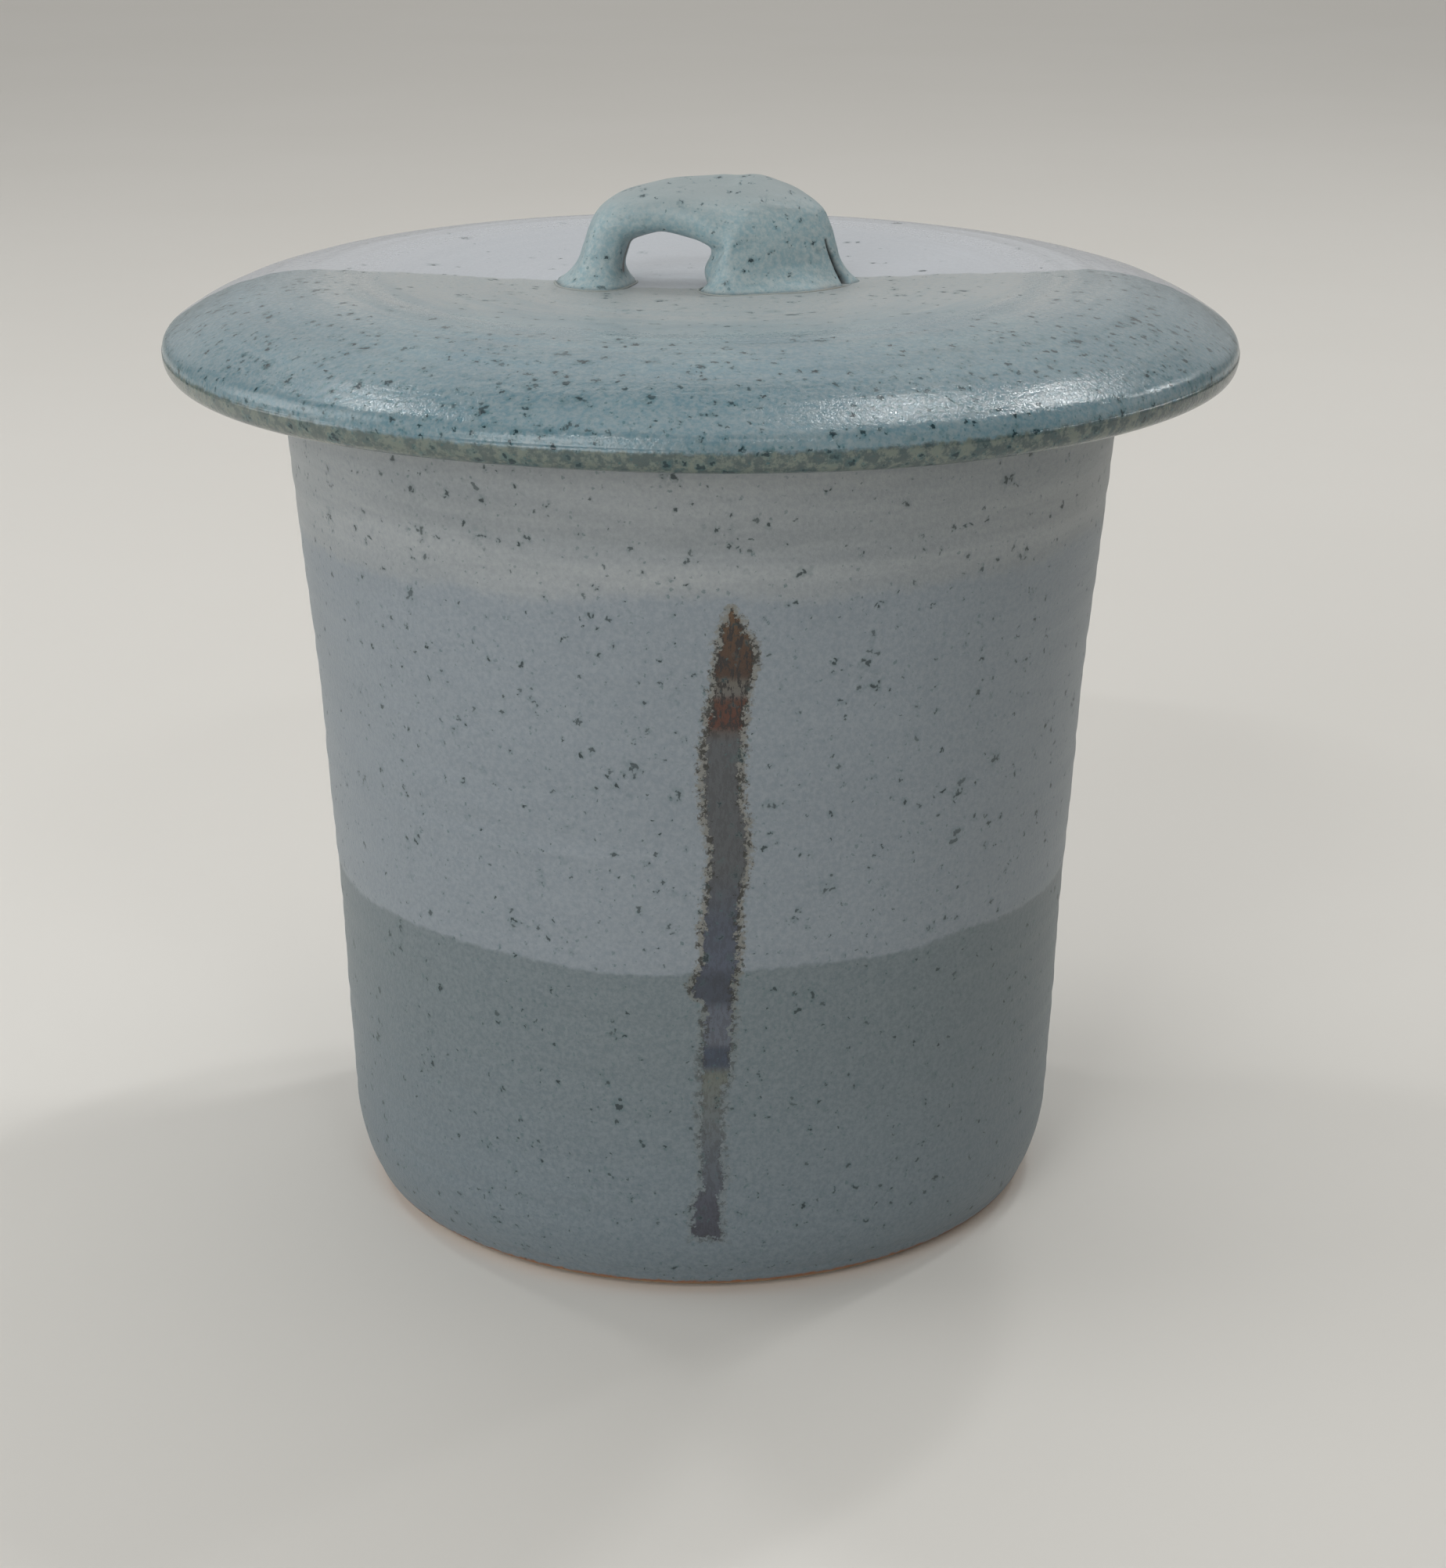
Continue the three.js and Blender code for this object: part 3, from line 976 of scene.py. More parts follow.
def bend(start: np.ndarray, end: np.ndarray, leave: np.ndarray, arrive: np.ndarray, t: float) -> np.ndarray:
    """A point on the smooth curve between two others.

    Args:
        start: the first point.
        end: the second one.
        leave: which way and how fast it leaves the first.
        arrive: which way and how fast it comes to the second.
        t: how far along it is, 0 to 1.

    Returns:
        The point.
    """
    return (
        (2 * start - 2 * end + leave + arrive) * t**3
        + (-3 * start + 3 * end - 2 * leave - arrive) * t**2
        + leave * t
        + start
    )


def spline(stations: list[tuple[float, ...]], steps: int) -> list[np.ndarray]:
    """A smooth line through its stations.

    Args:
        stations: the points it passes, of any dimension.
        steps: segments between two of them.

    Returns:
        The points along it, both ends included.
    """
    given = [np.array(station, float) for station in stations]
    last = len(given) - 1
    made: list[np.ndarray] = []
    for i in range(last):
        before, start, end, after = given[max(i - 1, 0)], given[i], given[i + 1], given[min(i + 2, last)]
        for step in range(steps):
            made.append(bend(start, end, (end - before) / 2, (after - start) / 2, step / steps))
    made.append(given[last])
    return made


def tube_faces(rings: int, sides: int, inside_out: bool = False) -> list[tuple[int, ...]]:
    """The quads between rings of points.

    Args:
        rings: how many rings follow one another.
        sides: how many points each has.
        inside_out: turns the faces over.

    Returns:
        The faces, as numbers of points.
    """
    faces: list[tuple[int, ...]] = []
    for ring in range(rings - 1):
        low, high = ring * sides, (ring + 1) * sides
        for side in range(sides):
            after = (side + 1) % sides
            face = (low + side, low + after, high + after, high + side)
            faces.append((face[0], face[3], face[2], face[1]) if inside_out else face)
    return faces


def mesh_of(name: str, points: np.ndarray, faces: list[tuple[int, ...]]) -> bpy.types.Mesh:
    """A new mesh from points in millimetres.

    Args:
        name: its name.
        points: its points.
        faces: its faces, as numbers of points.

    Returns:
        The mesh, in metres.
    """
    shape = bpy.data.meshes.new(name)
    shape.from_pydata((points * MM).tolist(), [], faces)
    return shape


def put_in_scene(name: str, data: bpy.types.ID) -> bpy.types.Object:
    """A new object in the scene.

    Args:
        name: its name.
        data: its mesh, light or camera.

    Returns:
        The object.
    """
    made = bpy.data.objects.new(name, data)
    bpy.context.scene.collection.objects.link(made)
    return made


def settle(piece: bpy.types.Object) -> None:
    """Makes a piece's modifiers part of its mesh.

    Args:
        piece: the piece, whose mesh is replaced.
    """
    graph = bpy.context.evaluated_depsgraph_get()
    made = bpy.data.meshes.new_from_object(piece.evaluated_get(graph))
    piece.modifiers.clear()
    piece.data = made


def move_points(piece: bpy.types.Object, points: np.ndarray) -> None:
    """Moves all of a mesh's points.

    Args:
        piece: the mesh object.
        points: where they go, in millimetres.
    """
    piece.data.vertices.foreach_set("co", (points * MM).reshape(-1))
    piece.data.update()


class Outline:
    """A turned profile: rows of radius, height and how bare the clay is, in millimetres."""

    def __init__(self) -> None:
        """Starts with no rows."""
        self.rows: list[tuple[float, float, float]] = []

    def to(self, radius: float, height: float, clay: float = 0.0, pitch: float = 0.8) -> "Outline":
        """Goes straight to a point.

        Args:
            radius: its distance from the axis.
            height: its height.
            clay: how bare it is.
            pitch: the longest segment on the way.

        Returns:
            This outline.
        """
        if self.rows:
            start = np.array(self.rows[-1])
            end = np.array((radius, height, clay))
            count = max(1, math.ceil(float(np.linalg.norm((end - start)[:2])) / pitch))
            for step in range(1, count):
                self.rows.append(tuple(start + (end - start) * step / count))
        self.rows.append((radius, height, clay))
        return self

    def round(
        self, corner: tuple[float, float], end: tuple[float, float], clay: float, steps: int = 8
    ) -> "Outline":
        """Goes round a corner to a point.

        Args:
            corner: the sharp corner's radius and height.
            end: where it ends.
            clay: how bare it is there.
            steps: segments on the way.

        Returns:
            This outline.
        """
        start = np.array(self.rows[-1])
        control = np.array((*corner, (start[2] + clay) / 2))
        finish = np.array((*end, clay))
        for step in range(1, steps + 1):
            t = step / steps
            self.rows.append(tuple(start * (1 - t) ** 2 + control * 2 * t * (1 - t) + finish * t * t))
        return self

    def through(self, stations: list[tuple[float, float]], steps: int, clay: float = 0.0) -> "Outline":
        """Goes smoothly through stations, the first of which is where the outline is.

        Args:
            stations: radii and heights.
            steps: segments between two of them.
            clay: how bare they are.

        Returns:
            This outline.
        """
        for point in spline(stations, steps)[1:]:
            self.rows.append((float(point[0]), float(point[1]), clay))
        return self


@dataclass
class Turning:
    """A piece turned on the wheel, with the small unevenness of a hand-thrown pot."""

    turns: int = 288

    def outline(self) -> Outline:
        """Draws the piece.

        Returns:
            The profile, from the axis under the piece round the outside and back to the axis.
        """
        raise NotImplementedError

    def unevenness(
        self, angle: np.ndarray, radius: np.ndarray, height: np.ndarray
    ) -> tuple[np.ndarray, np.ndarray]:
        """How far each point is moved.

        Args:
            angle: each point's direction about the axis.
            radius: its distance from the axis.
            height: its height.

        Returns:
            The move outwards and the move up, in millimetres.
        """
        raise NotImplementedError

    def mesh(self, name: str) -> bpy.types.Object:
        """Turns the profile.

        Args:
            name: the new object's name.

        Returns:
            The new object, in metres.
        """
        rows = np.array(self.outline().rows)
        inner = rows[1:-1]
        angles = np.arange(self.turns) * 2 * math.pi / self.turns
        radius, angle = np.meshgrid(inner[:, 0], angles, indexing="ij")
        height = np.repeat(inner[:, 1:2], self.turns, axis=1)
        out, up = self.unevenness(angle, radius, height)
        radius, height = radius + out, height + up
        places = np.stack([radius * np.sin(angle), -radius * np.cos(angle), height], axis=-1).reshape(-1, 3)
        poles = np.array([(0.0, 0.0, rows[0, 1]), (0.0, 0.0, rows[-1, 1])])
        faces = tube_faces(len(inner), self.turns)
        around = range(self.turns)
        after = [(side + 1) % self.turns for side in around]
        first, last = len(places), len(places) + 1
        top = (len(inner) - 1) * self.turns
        faces.extend((first, b, a) for a, b in zip(around, after))
        faces.extend((last, top + a, top + b) for a, b in zip(around, after))
        piece = put_in_scene(name, mesh_of(name, np.concatenate([places, poles]), faces))
        paint(piece, "clay", np.concatenate([np.repeat(inner[:, 2], self.turns), rows[[0, -1], 2]]))
        smooth(piece)
        return piece


def paint(piece: bpy.types.Object, name: str, values: np.ndarray) -> None:
    """Gives each point of a mesh a value that its finish reads.

    Args:
        piece: the mesh object.
        name: the value's name.
        values: one for each point.
    """
    layer = piece.data.attributes.new(name, "FLOAT", "POINT")
    layer.data.foreach_set("value", values.astype(np.float32))


def smooth(piece: bpy.types.Object) -> None:
    """Shades a mesh smoothly."""
    piece.data.polygons.foreach_set("use_smooth", [True] * len(piece.data.polygons))
    piece.data.update()


def points_of(piece: bpy.types.Object) -> np.ndarray:
    """Reads a mesh's points.

    Args:
        piece: the mesh object.

    Returns:
        The points, in millimetres.
    """
    flat = np.zeros(len(piece.data.vertices) * 3, np.float64)
    piece.data.vertices.foreach_get("co", flat)
    return flat.reshape(-1, 3) / MM


def normals_of(piece: bpy.types.Object) -> np.ndarray:
    """Reads the way each of a mesh's points faces.

    Args:
        piece: the mesh object.

    Returns:
        One direction for each point.
    """
    flat = np.zeros(len(piece.data.vertices) * 3, np.float32)
    piece.data.vertex_normals.foreach_get("vector", flat)
    return flat.reshape(-1, 3).astype(float)


def near_line(points: np.ndarray, line: np.ndarray) -> np.ndarray:
    """How far each point is from a line of straight stretches.

    Args:
        points: the points, in millimetres.
        line: the line's points.

    Returns:
        The distances.
    """
    best = np.full(len(points), 1e9)
    for start, end in zip(line[:-1], line[1:]):
        run = end - start
        t = np.clip((points - start) @ run / max(float(run @ run), 1e-9), 0, 1)
        best = np.minimum(best, np.linalg.norm(points - start - t[:, None] * run, axis=1))
    return best


def ripples(value: np.ndarray, seed: int, waves: tuple[float, ...]) -> np.ndarray:
    """Uneven ripples, about -1 to 1, the same on every run.

    Args:
        value: the place along them, in millimetres.
        seed: which set.
        waves: their wavelengths in millimetres.

    Returns:
        Their height.
    """
    phases = np.random.default_rng(seed).uniform(0, 2 * math.pi, len(waves))
    total = sum(np.sin(value * 2 * math.pi / wave + phase) for wave, phase in zip(waves, phases))
    return total / len(waves)


# ---------------------------------------------------------------- the jar's body


@dataclass
class ThrownBody(Turning):
    """The turned body: recessed foot, rounded heel, opening wall, flat rim and hollow inside."""

    height: float = 104.0
    rim_radius: float = 50.4
    middle_radius: float = 46.6
    heel_radius: float = 44.4
    heel_height: float = 11.0
    base_radius: float = 42.3
    heel_ease: float = 0.3
    wall: float = 5.0
    floor: float = 7.5
    inside_corner: float = 9.0
    rim_edge: float = 0.9
    foot_bevel: float = 2.4
    foot_width: float = 6.2
    foot_recess: float = 1.8
    lip_round: float = 1.0
    rim_glow: float = 1.3
    ring_depth: float = 0.07
    slow_depth: float = 0.1
    out_of_round: float = 0.22

    def outline(self) -> Outline:
        """Draws the body.

        Returns:
            The profile, from the axis under the piece round the outside and back to the axis.
        """
        foot_out = self.base_radius - self.foot_bevel
        foot_in = foot_out - self.foot_width
        corner_top = self.floor + self.inside_corner
        middle = (self.heel_height + self.height) / 2
        top = self.height - self.rim_edge
        heel_in, mouth = self.heel_radius - self.wall, self.rim_radius - self.wall
        heel = (self.heel_radius, self.heel_height)
        outside = [heel, (self.middle_radius, middle), (self.rim_radius, top)]
        inside = [(mouth, top), (self.middle_radius - self.wall, middle), (heel_in, corner_top)]
        made = Outline()
        made.to(0.0, self.foot_recess, 1.0)
        made.to(foot_in - self.foot_recess, self.foot_recess, 1.0)
        made.round((foot_in - 0.4, self.foot_recess), (foot_in, 0.3), 1.0, 6)
        made.round((foot_in + 0.1, 0.0), (foot_in + 0.5, 0.0), 1.0, 4)
        made.to(foot_out - 0.4, 0.0, 1.0)
        made.round((foot_out + 0.3, 0.0), (foot_out + 0.9, 0.55), 0.95, 5)
        made.to(self.base_radius - 0.55, self.foot_bevel / 2, 0.6, 0.3)
        bevel = (self.base_radius, self.foot_bevel)
        made.round((self.base_radius - 0.1, self.foot_bevel * 0.75), bevel, 0.0, 6)
        made.round((self.heel_radius - self.heel_ease, self.heel_height / 2), heel, 0.0, 14)
        made.through(outside, 70)
        made.round((self.rim_radius, self.height), (self.rim_radius - self.lip_round, self.height), 0.9, 7)
        made.to(mouth + self.lip_round, self.height, 1.05, 0.5)
        made.round((mouth, self.height), (mouth, top), 0.5, 7)
        made.through(inside, 46)
        made.round((heel_in, self.floor), (heel_in - self.inside_corner, self.floor), 0.0, 14)
        made.to(0.0, self.floor, 0.0, 1.2)
        return made

    def unevenness(
        self, angle: np.ndarray, radius: np.ndarray, height: np.ndarray
    ) -> tuple[np.ndarray, np.ndarray]:
        """Gives the body throwing rings and a slight oval, both gone at the foot and the rim.

        Args:
            angle: each point's direction about the axis.
            radius: its distance from the axis.
            height: its height.

        Returns:
            The move outwards and the move up, in millimetres.
        """
        held = np.clip(height / 14, 0, 1) * np.clip((self.height - height) / 6, 0, 1)
        winding = height + np.sin(angle + 1.0) * 0.7
        rings = ripples(winding, 3, (3.1, 4.3, 5.9)) * self.ring_depth
        slow = ripples(height, 8, (27.0, 41.0)) * self.slow_depth
        oval = np.cos(2 * angle + 0.7) * self.out_of_round
        oval = oval + np.cos(3 * angle + 2.1) * self.out_of_round * 0.4
        on_wall = radius > self.heel_radius - self.wall - 1
        return np.where(on_wall, held * (rings + slow + oval), 0.0), np.zeros_like(height)

    def build(self) -> bpy.types.Object:
        """Makes the body, dressed and riding.

        Returns:
            The piece.
        """
        piece = self.mesh("thrown_body")
        points = points_of(piece)
        around = np.hypot(points[:, 0], points[:, 1])
        near_rim = np.exp(-(((points[:, 2] - self.height) / self.rim_glow) ** 2))
        paint(piece, "edge", near_rim * (around > self.rim_radius - self.wall - 1))
        outwards = np.sum(normals_of(piece)[:, :2] * points[:, :2], axis=1)
        paint(piece, "outside", (outwards > 0).astype(float))
        piece.data.materials.append(SlateGlaze().material())
        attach(piece, Body.JAR.value)
        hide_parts("jar_body")
        return piece


# ---------------------------------------------------------------- the lid


@dataclass
class DishedLid(Turning):
    """The lid: locating flange, flat seat, hollowed overhang, drooping lip and dished top."""

    turns: int = 360
    rim_radius: float = 50.4
    overhang: float = 13.3
    seat: float = 104.3
    edge_rise: float = 1.7
    lip_drop: float = 2.8
    lip_reach: float = 2.6
    crest_rise: float = 2.1
    crest_inset: float = 1.3
    centre_rise: float = 6.3
    ring_rise: float = 7.4
    ring_inset: float = 20.7
    shoulder_rise: float = 5.6
    shoulder_inset: float = 8.7
    thickness: float = 6.0
    hollow: float = 0.9
    seat_margin: float = 1.6
    flange_foot: float = 96.3
    flange_outer: float = 43.66
    flange_wall: float = 4.0
    flange_edge: float = 1.0
    seat_round: float = 0.8
    ceiling_corner: float = 3.0
    ring_depth: float = 0.06

    @property
    def radius(self) -> float:
        """The lid's widest circle."""
        return self.rim_radius + self.overhang

    @property
    def edge(self) -> float:
        """The height of that circle."""
        return self.seat + self.edge_rise

    def top_stations(self) -> list[tuple[float, float]]:
        """Draws the upper surface.

        Returns:
            Its radii and heights, from the widest circle to the middle.
        """
        ring = self.radius - self.ring_inset
        return [
            (self.radius, self.edge),
            (self.radius - self.crest_inset, self.edge + self.crest_rise),
            (self.radius - self.shoulder_inset, self.edge + self.shoulder_rise),
            (ring, self.edge + self.ring_rise),
            (ring / 2, self.edge + self.centre_rise),
            (0.0, self.edge + self.centre_rise),
        ]

    def top_height(self, radius: np.ndarray) -> np.ndarray:
        """The height of the upper surface.

        Args:
            radius: distances from the axis.

        Returns:
            The heights there.
        """
        line = np.array(spline(self.top_stations(), 40))[::-1]
        return np.interp(radius, line[:, 0], line[:, 1])

    def outline(self) -> Outline:
        """Draws the lid.

        Returns:
            The profile, from the ceiling out under the lip and back over the top.
        """
        ceiling = self.edge + self.centre_rise - self.thickness
        inner = self.flange_outer - self.flange_wall
        seat_out = self.rim_radius + self.seat_margin
        lip_in = self.radius - self.lip_reach
        made = Outline()
        made.to(0.0, ceiling)
        made.to(inner - self.ceiling_corner, ceiling, 0.0, 1.5)
        made.round((inner, ceiling), (inner, ceiling - self.ceiling_corner), 0.2, 8)
        made.to(inner, self.flange_foot + self.flange_edge, 1.0, 0.6)
        made.round((inner, self.flange_foot), (inner + self.flange_edge, self.flange_foot), 1.0, 5)
        made.to(self.flange_outer - self.flange_edge, self.flange_foot, 1.0, 0.7)
        foot_end = (self.flange_outer, self.flange_foot + self.flange_edge)
        made.round((self.flange_outer, self.flange_foot), foot_end, 1.0, 5)
        made.to(self.flange_outer, self.seat - self.seat_round, 1.0)
        made.round((self.flange_outer, self.seat), (self.flange_outer + self.seat_round, self.seat), 1.0, 4)
        made.to(seat_out, self.seat, 0.9, 0.5)
        made.to((seat_out + lip_in) / 2, self.seat + self.hollow, 0.0, 0.5)
        made.to(lip_in, self.edge - self.lip_drop, 0.0, 0.5)
        made.round((self.radius, self.edge - self.lip_drop), (self.radius, self.edge), 0.0, 12)
        made.through(self.top_stations(), 26)
        return made

    def unevenness(
        self, angle: np.ndarray, radius: np.ndarray, height: np.ndarray
    ) -> tuple[np.ndarray, np.ndarray]:
        """Gives the top its rings and the lip a slight wave up and down.

        Args:
            angle: each point's direction about the axis.
            radius: its distance from the axis.
            height: its height.

        Returns:
            The move outwards and the move up, in millimetres.
        """
        on_top = height > self.edge
        winding = radius + np.sin(angle + 2.0) * 0.7
        rings = ripples(winding, 5, (3.4, 4.9, 7.7)) * self.ring_depth * on_top
        rings = rings * np.clip(radius / 12, 0, 1)
        out_here = np.clip((radius - self.rim_radius - 4) / 9, 0, 1)
        wave = (np.cos(2 * angle + 0.4) * 0.25 + np.cos(5 * angle + 1.3) * 0.12) * out_here
        return np.zeros_like(radius), rings + wave

    def build(self) -> bpy.types.Object:
        """Makes the lid, dressed and riding.

        Returns:
            The piece.
        """
        piece = self.mesh("dished_lid")
        points = points_of(piece)
        around = np.hypot(points[:, 0], points[:, 1])
        # The band under the lip's crest, which the finish darkens: thin glaze, and partly painted shade.
        below = np.clip((self.edge + 0.9 - points[:, 2]) / 1.6, 0, 1)
        lip = np.clip((around - (self.radius - 3.4)) / 2.0, 0, 1)
        paint(piece, "edge", below * lip)
        piece.data.materials.append(TealGlaze().material())
        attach(piece, Body.LID.value)
        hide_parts("lid")
        return piece


# ---------------------------------------------------------------- the strap handle


@dataclass
class StrapHandle:
    """The pulled strap: one band of clay bent over, twisted, and pressed onto the lid at both feet.

    LINE has one row for each point that its middle passes: the share of the span between the feet, the
    height as a share of the rise, the share of the lean, and the share of the twist and widening.
    """

    lid: DishedLid
    thickness: float = 5.2
    tail_width: float = 9.4
    head_width: float = 16.5
    rise: float = 12.4
    left_foot: float = -13.0
    right_foot: float = 8.4
    front_lean: float = 3.2
    head_turn: float = 62.0
    foot_flare: float = 2.0
    flare_height: float = 3.4
    flare_fade: float = 2.2
    section_power: float = 0.78
    sections: int = 150
    sides: int = 56
    voxel: float = 0.24
    crack_width: float = 0.24
    crack_depth: float = 0.9
    bead_radius: float = 0.1
    bead_width: float = 1.6
    bead_sides: int = 10
    hole_line: float = 0.3
    seam: float = 0.22
    between_feet: float = -5.0

    LINE = (
        (-0.01, -0.2, 0.0, 0.0), (0.08, 0.32, 0.0, 0.0), (0.14, 0.56, 0.0, 0.02), (0.38, 0.71, 0.0, 0.1),
        (0.6, 0.715, 0.2, 0.3), (0.74, 0.67, 0.38, 0.41), (0.885, 0.625, 0.62, 0.62),
        (0.985, 0.45, 0.88, 0.94), (1.04, 0.06, 1.0, 1.0), (1.06, -0.2, 1.0, 1.0),
    )
    # Lumps of soft clay thumbed into the corners: where each is, from the lid's middle, and its half sizes.
    THUMBED = (
        (3.3, -4.2, 3.6, 2.1, 2.4, 3.8), (2.8, -4.3, 1.8, 2.5, 2.5, 2.4),
        (2.6, 2.1, 10.4, 4.6, 2.2, 1.9),
    )
    # Places rubbed smoother, the inner bend and the crown: where each is and how far the rubbing reaches.
    RUBBED = ((2.0, -4.2, 3.6, 3.0), (4.6, 1.6, 12.2, 6.5), (3.0, -5.5, 7.0, 3.0))

    # The drying crack down the right edge, as places to the right and heights above the lid's middle.
    CRACK = ((14.7, 5.2), (14.95, 4.4), (15.3, 3.5), (15.75, 2.6), (16.2, 1.7), (16.7, 0.9), (17.1, 0.3))

    @property
    def ground(self) -> float:
        """The height of the lid's middle, where the strap stands."""
        return self.lid.edge + self.lid.centre_rise

    def middle_line(self) -> tuple[np.ndarray, np.ndarray]:
        """The strap's middle line.

        Returns:
            Its points in millimetres, and the share of twist and widening at each.
        """
        rows = np.array(self.LINE)
        stations = np.stack(
            [
                self.left_foot + (self.right_foot - self.left_foot) * rows[:, 0],
                -self.front_lean * rows[:, 2],
                self.ground + self.rise * rows[:, 1],
                rows[:, 3],
            ],
            axis=1,
        )
        ends = [2 * stations[0] - stations[1], 2 * stations[-1] - stations[-2]]
        given = np.concatenate([ends[:1], stations, ends[1:]])
        places = np.linspace(0, len(stations) - 1, self.sections)
        made = []
        for place in places:
            i = min(int(place), len(stations) - 2)
            t = place - i
            p0, p1, p2, p3 = given[i : i + 4]
            gaps = [math.sqrt(float(np.linalg.norm((b - a)[:3]))) for a, b in ((p0, p1), (p1, p2), (p2, p3))]
            leave = ((p1 - p0) / gaps[0] - (p2 - p0) / (gaps[0] + gaps[1]) + (p2 - p1) / gaps[1]) * gaps[1]
            arrive = ((p2 - p1) / gaps[1] - (p3 - p1) / (gaps[1] + gaps[2]) + (p3 - p2) / gaps[2]) * gaps[1]
            point = bend(p1, p2, leave, arrive, t)
            point[3] = p1[3] + (p2[3] - p1[3]) * t
            made.append(point)
        line = np.array(made)
        return line[:, :3], line[:, 3]

    def frames(self) -> tuple[np.ndarray, np.ndarray, np.ndarray, np.ndarray]:
        """The strap's sections.

        Returns:
            Each one's middle, the way across it, the way it faces, and its half width and half thickness.
        """
        line, change = self.middle_line()
        along = np.gradient(line, axis=0)
        along /= np.linalg.norm(along, axis=1, keepdims=True)
        turn = np.radians(self.head_turn) * change
        over = np.cross(along, np.array((0.0, 1.0, 0.0)))
        over /= np.linalg.norm(over, axis=1, keepdims=True)
        face = over * np.cos(turn)[:, None] + np.array((0.0, -1.0, 0.0)) * np.sin(turn)[:, None]
        face -= along * np.sum(face * along, axis=1, keepdims=True)
        face /= np.linalg.norm(face, axis=1, keepdims=True)
        across = np.cross(along, face)
        half_width = (self.tail_width + (self.head_width - self.tail_width) * change) / 2
        half_thick = np.full_like(half_width, self.thickness / 2)
        return line, across, face, np.stack([half_width, half_thick], axis=1)

    def skin_line(self, degrees: float) -> np.ndarray:
        """A line along the strap's skin.

        Args:
            degrees: where round the section: 0 is its front edge, 90 its upper face.

        Returns:
            The line's points in millimetres.
        """
        line, across, face, half = self.frames()
        c, s = math.cos(math.radians(degrees)), math.sin(math.radians(degrees))
        wide = math.copysign(abs(c) ** self.section_power, c)
        deep = math.copysign(abs(s) ** self.section_power, s)
        skin = line + across * half[:, :1] * wide + face * half[:, 1:] * deep
        out = (skin - line) * np.array((1.0, 1.0, 0.0))
        out /= np.maximum(np.linalg.norm(out, axis=1, keepdims=True), 0.5)
        low = np.clip((skin[:, 2] - self.ground) / self.flare_height, -0.3, 1)
        return skin + out * (self.foot_flare * (1 - low) ** self.flare_fade)[:, None]

    def sweep(self) -> bpy.types.Object:
        """Makes the plain band.

        Returns:
            The new object, closed at both ends inside the lid.
        """
        rings = np.stack([self.skin_line(360.0 * side / self.sides) for side in range(self.sides)], axis=1)
        line, _ = self.middle_line()
        points = np.concatenate([rings.reshape(-1, 3), line[[0, -1]]])
        faces = tube_faces(self.sections, self.sides, inside_out=True)
        first, last = self.sections * self.sides, self.sections * self.sides + 1
        end = (self.sections - 1) * self.sides
        for side in range(self.sides):
            after = (side + 1) % self.sides
            faces.append((first, side, after))
            faces.append((last, end + after, end + side))
        shape = mesh_of("pulled_strap", points, faces)
        lumps = bmesh.new()
        lumps.from_mesh(shape)
        for x, y, z, wide, deep, tall in self.THUMBED:
            put = Matrix.Translation(Vector((x, y, self.ground + z)) * MM)
            size = Matrix.Diagonal((wide * MM, deep * MM, tall * MM, 1.0))
            bmesh.ops.create_icosphere(lumps, subdivisions=3, radius=1.0, matrix=put @ size)
        lumps.to_mesh(shape)
        lumps.free()
        return put_in_scene("pulled_strap", shape)

    def soften(self, piece: bpy.types.Object) -> None:
        """Makes the band one even skin and rounds it as wet fingers do.

        Args:
            piece: the band, whose mesh is replaced.
        """
        remesh = piece.modifiers.new("even_skin", "REMESH")
        remesh.mode = "VOXEL"
        remesh.voxel_size = self.voxel * MM
        rub = piece.modifiers.new("rubbed", "SMOOTH")
        rub.factor = 0.5
        rub.iterations = 10
        settle(piece)

    def knead(self, piece: bpy.types.Object) -> None:
        """Presses shallow finger dents and lumps into the strap.

        Args:
            piece: the strap.
        """
        points = points_of(piece)
        facing = normals_of(piece)
        lumps = ripples(points[:, 0] + points[:, 2] * 0.6, 12, (8.0, 13.0)) * 0.07
        lumps += ripples(points[:, 1] * 1.3 - points[:, 0] * 0.5, 13, (5.5, 8.5)) * 0.08
        lumps += ripples(points[:, 2] + points[:, 1], 14, (2.1, 3.4)) * 0.02
        move_points(piece, points + facing * lumps[:, None])

    def rub(self, piece: bpy.types.Object) -> None:
        """Rubs the tight bends smooth, where the strap turns over and down into its broad foot.

        Args:
            piece: the strap, whose mesh is replaced.
        """
        points = points_of(piece)
        weight = np.zeros(len(points))
        for x, y, z, reach in self.RUBBED:
            away = np.linalg.norm(points - np.array((x, y, self.ground + z)), axis=1)
            weight = np.maximum(weight, np.exp(-((away / reach) ** 2)))
        group = piece.vertex_groups.new(name="bends")
        for index in np.nonzero(weight > 0.05)[0].tolist():
            group.add([index], float(weight[index]), "REPLACE")
        rub = piece.modifiers.new("bends", "SMOOTH")
        rub.vertex_group = "bends"
        rub.factor = 0.5
        rub.iterations = 50
        settle(piece)
        piece.vertex_groups.clear()

    def crack(self, piece: bpy.types.Object) -> np.ndarray:
        """Opens the drying crack, which widens towards the foot.

        Args:
            piece: the strap.

        Returns:
            How deep in the crack each point is, 0 to 1.
        """
        points = points_of(piece)
        facing = normals_of(piece)
        line = np.array([(x, 0.0, self.ground + z) for x, z in self.CRACK])
        flat = points.copy()
        flat[:, 1] = 0.0
        away = near_line(flat, line)
        low = np.clip((line[0, 2] - points[:, 2]) / (line[0, 2] - self.ground), 0, 1)
        reach = self.crack_width * (0.45 + 0.9 * low)
        inside = np.exp(-((away / reach) ** 2)) * (facing[:, 1] < 0.35) * (points[:, 0] > self.right_foot)
        move_points(piece, points - facing * (inside * self.crack_depth * (0.25 + 0.75 * low))[:, None])
        return inside

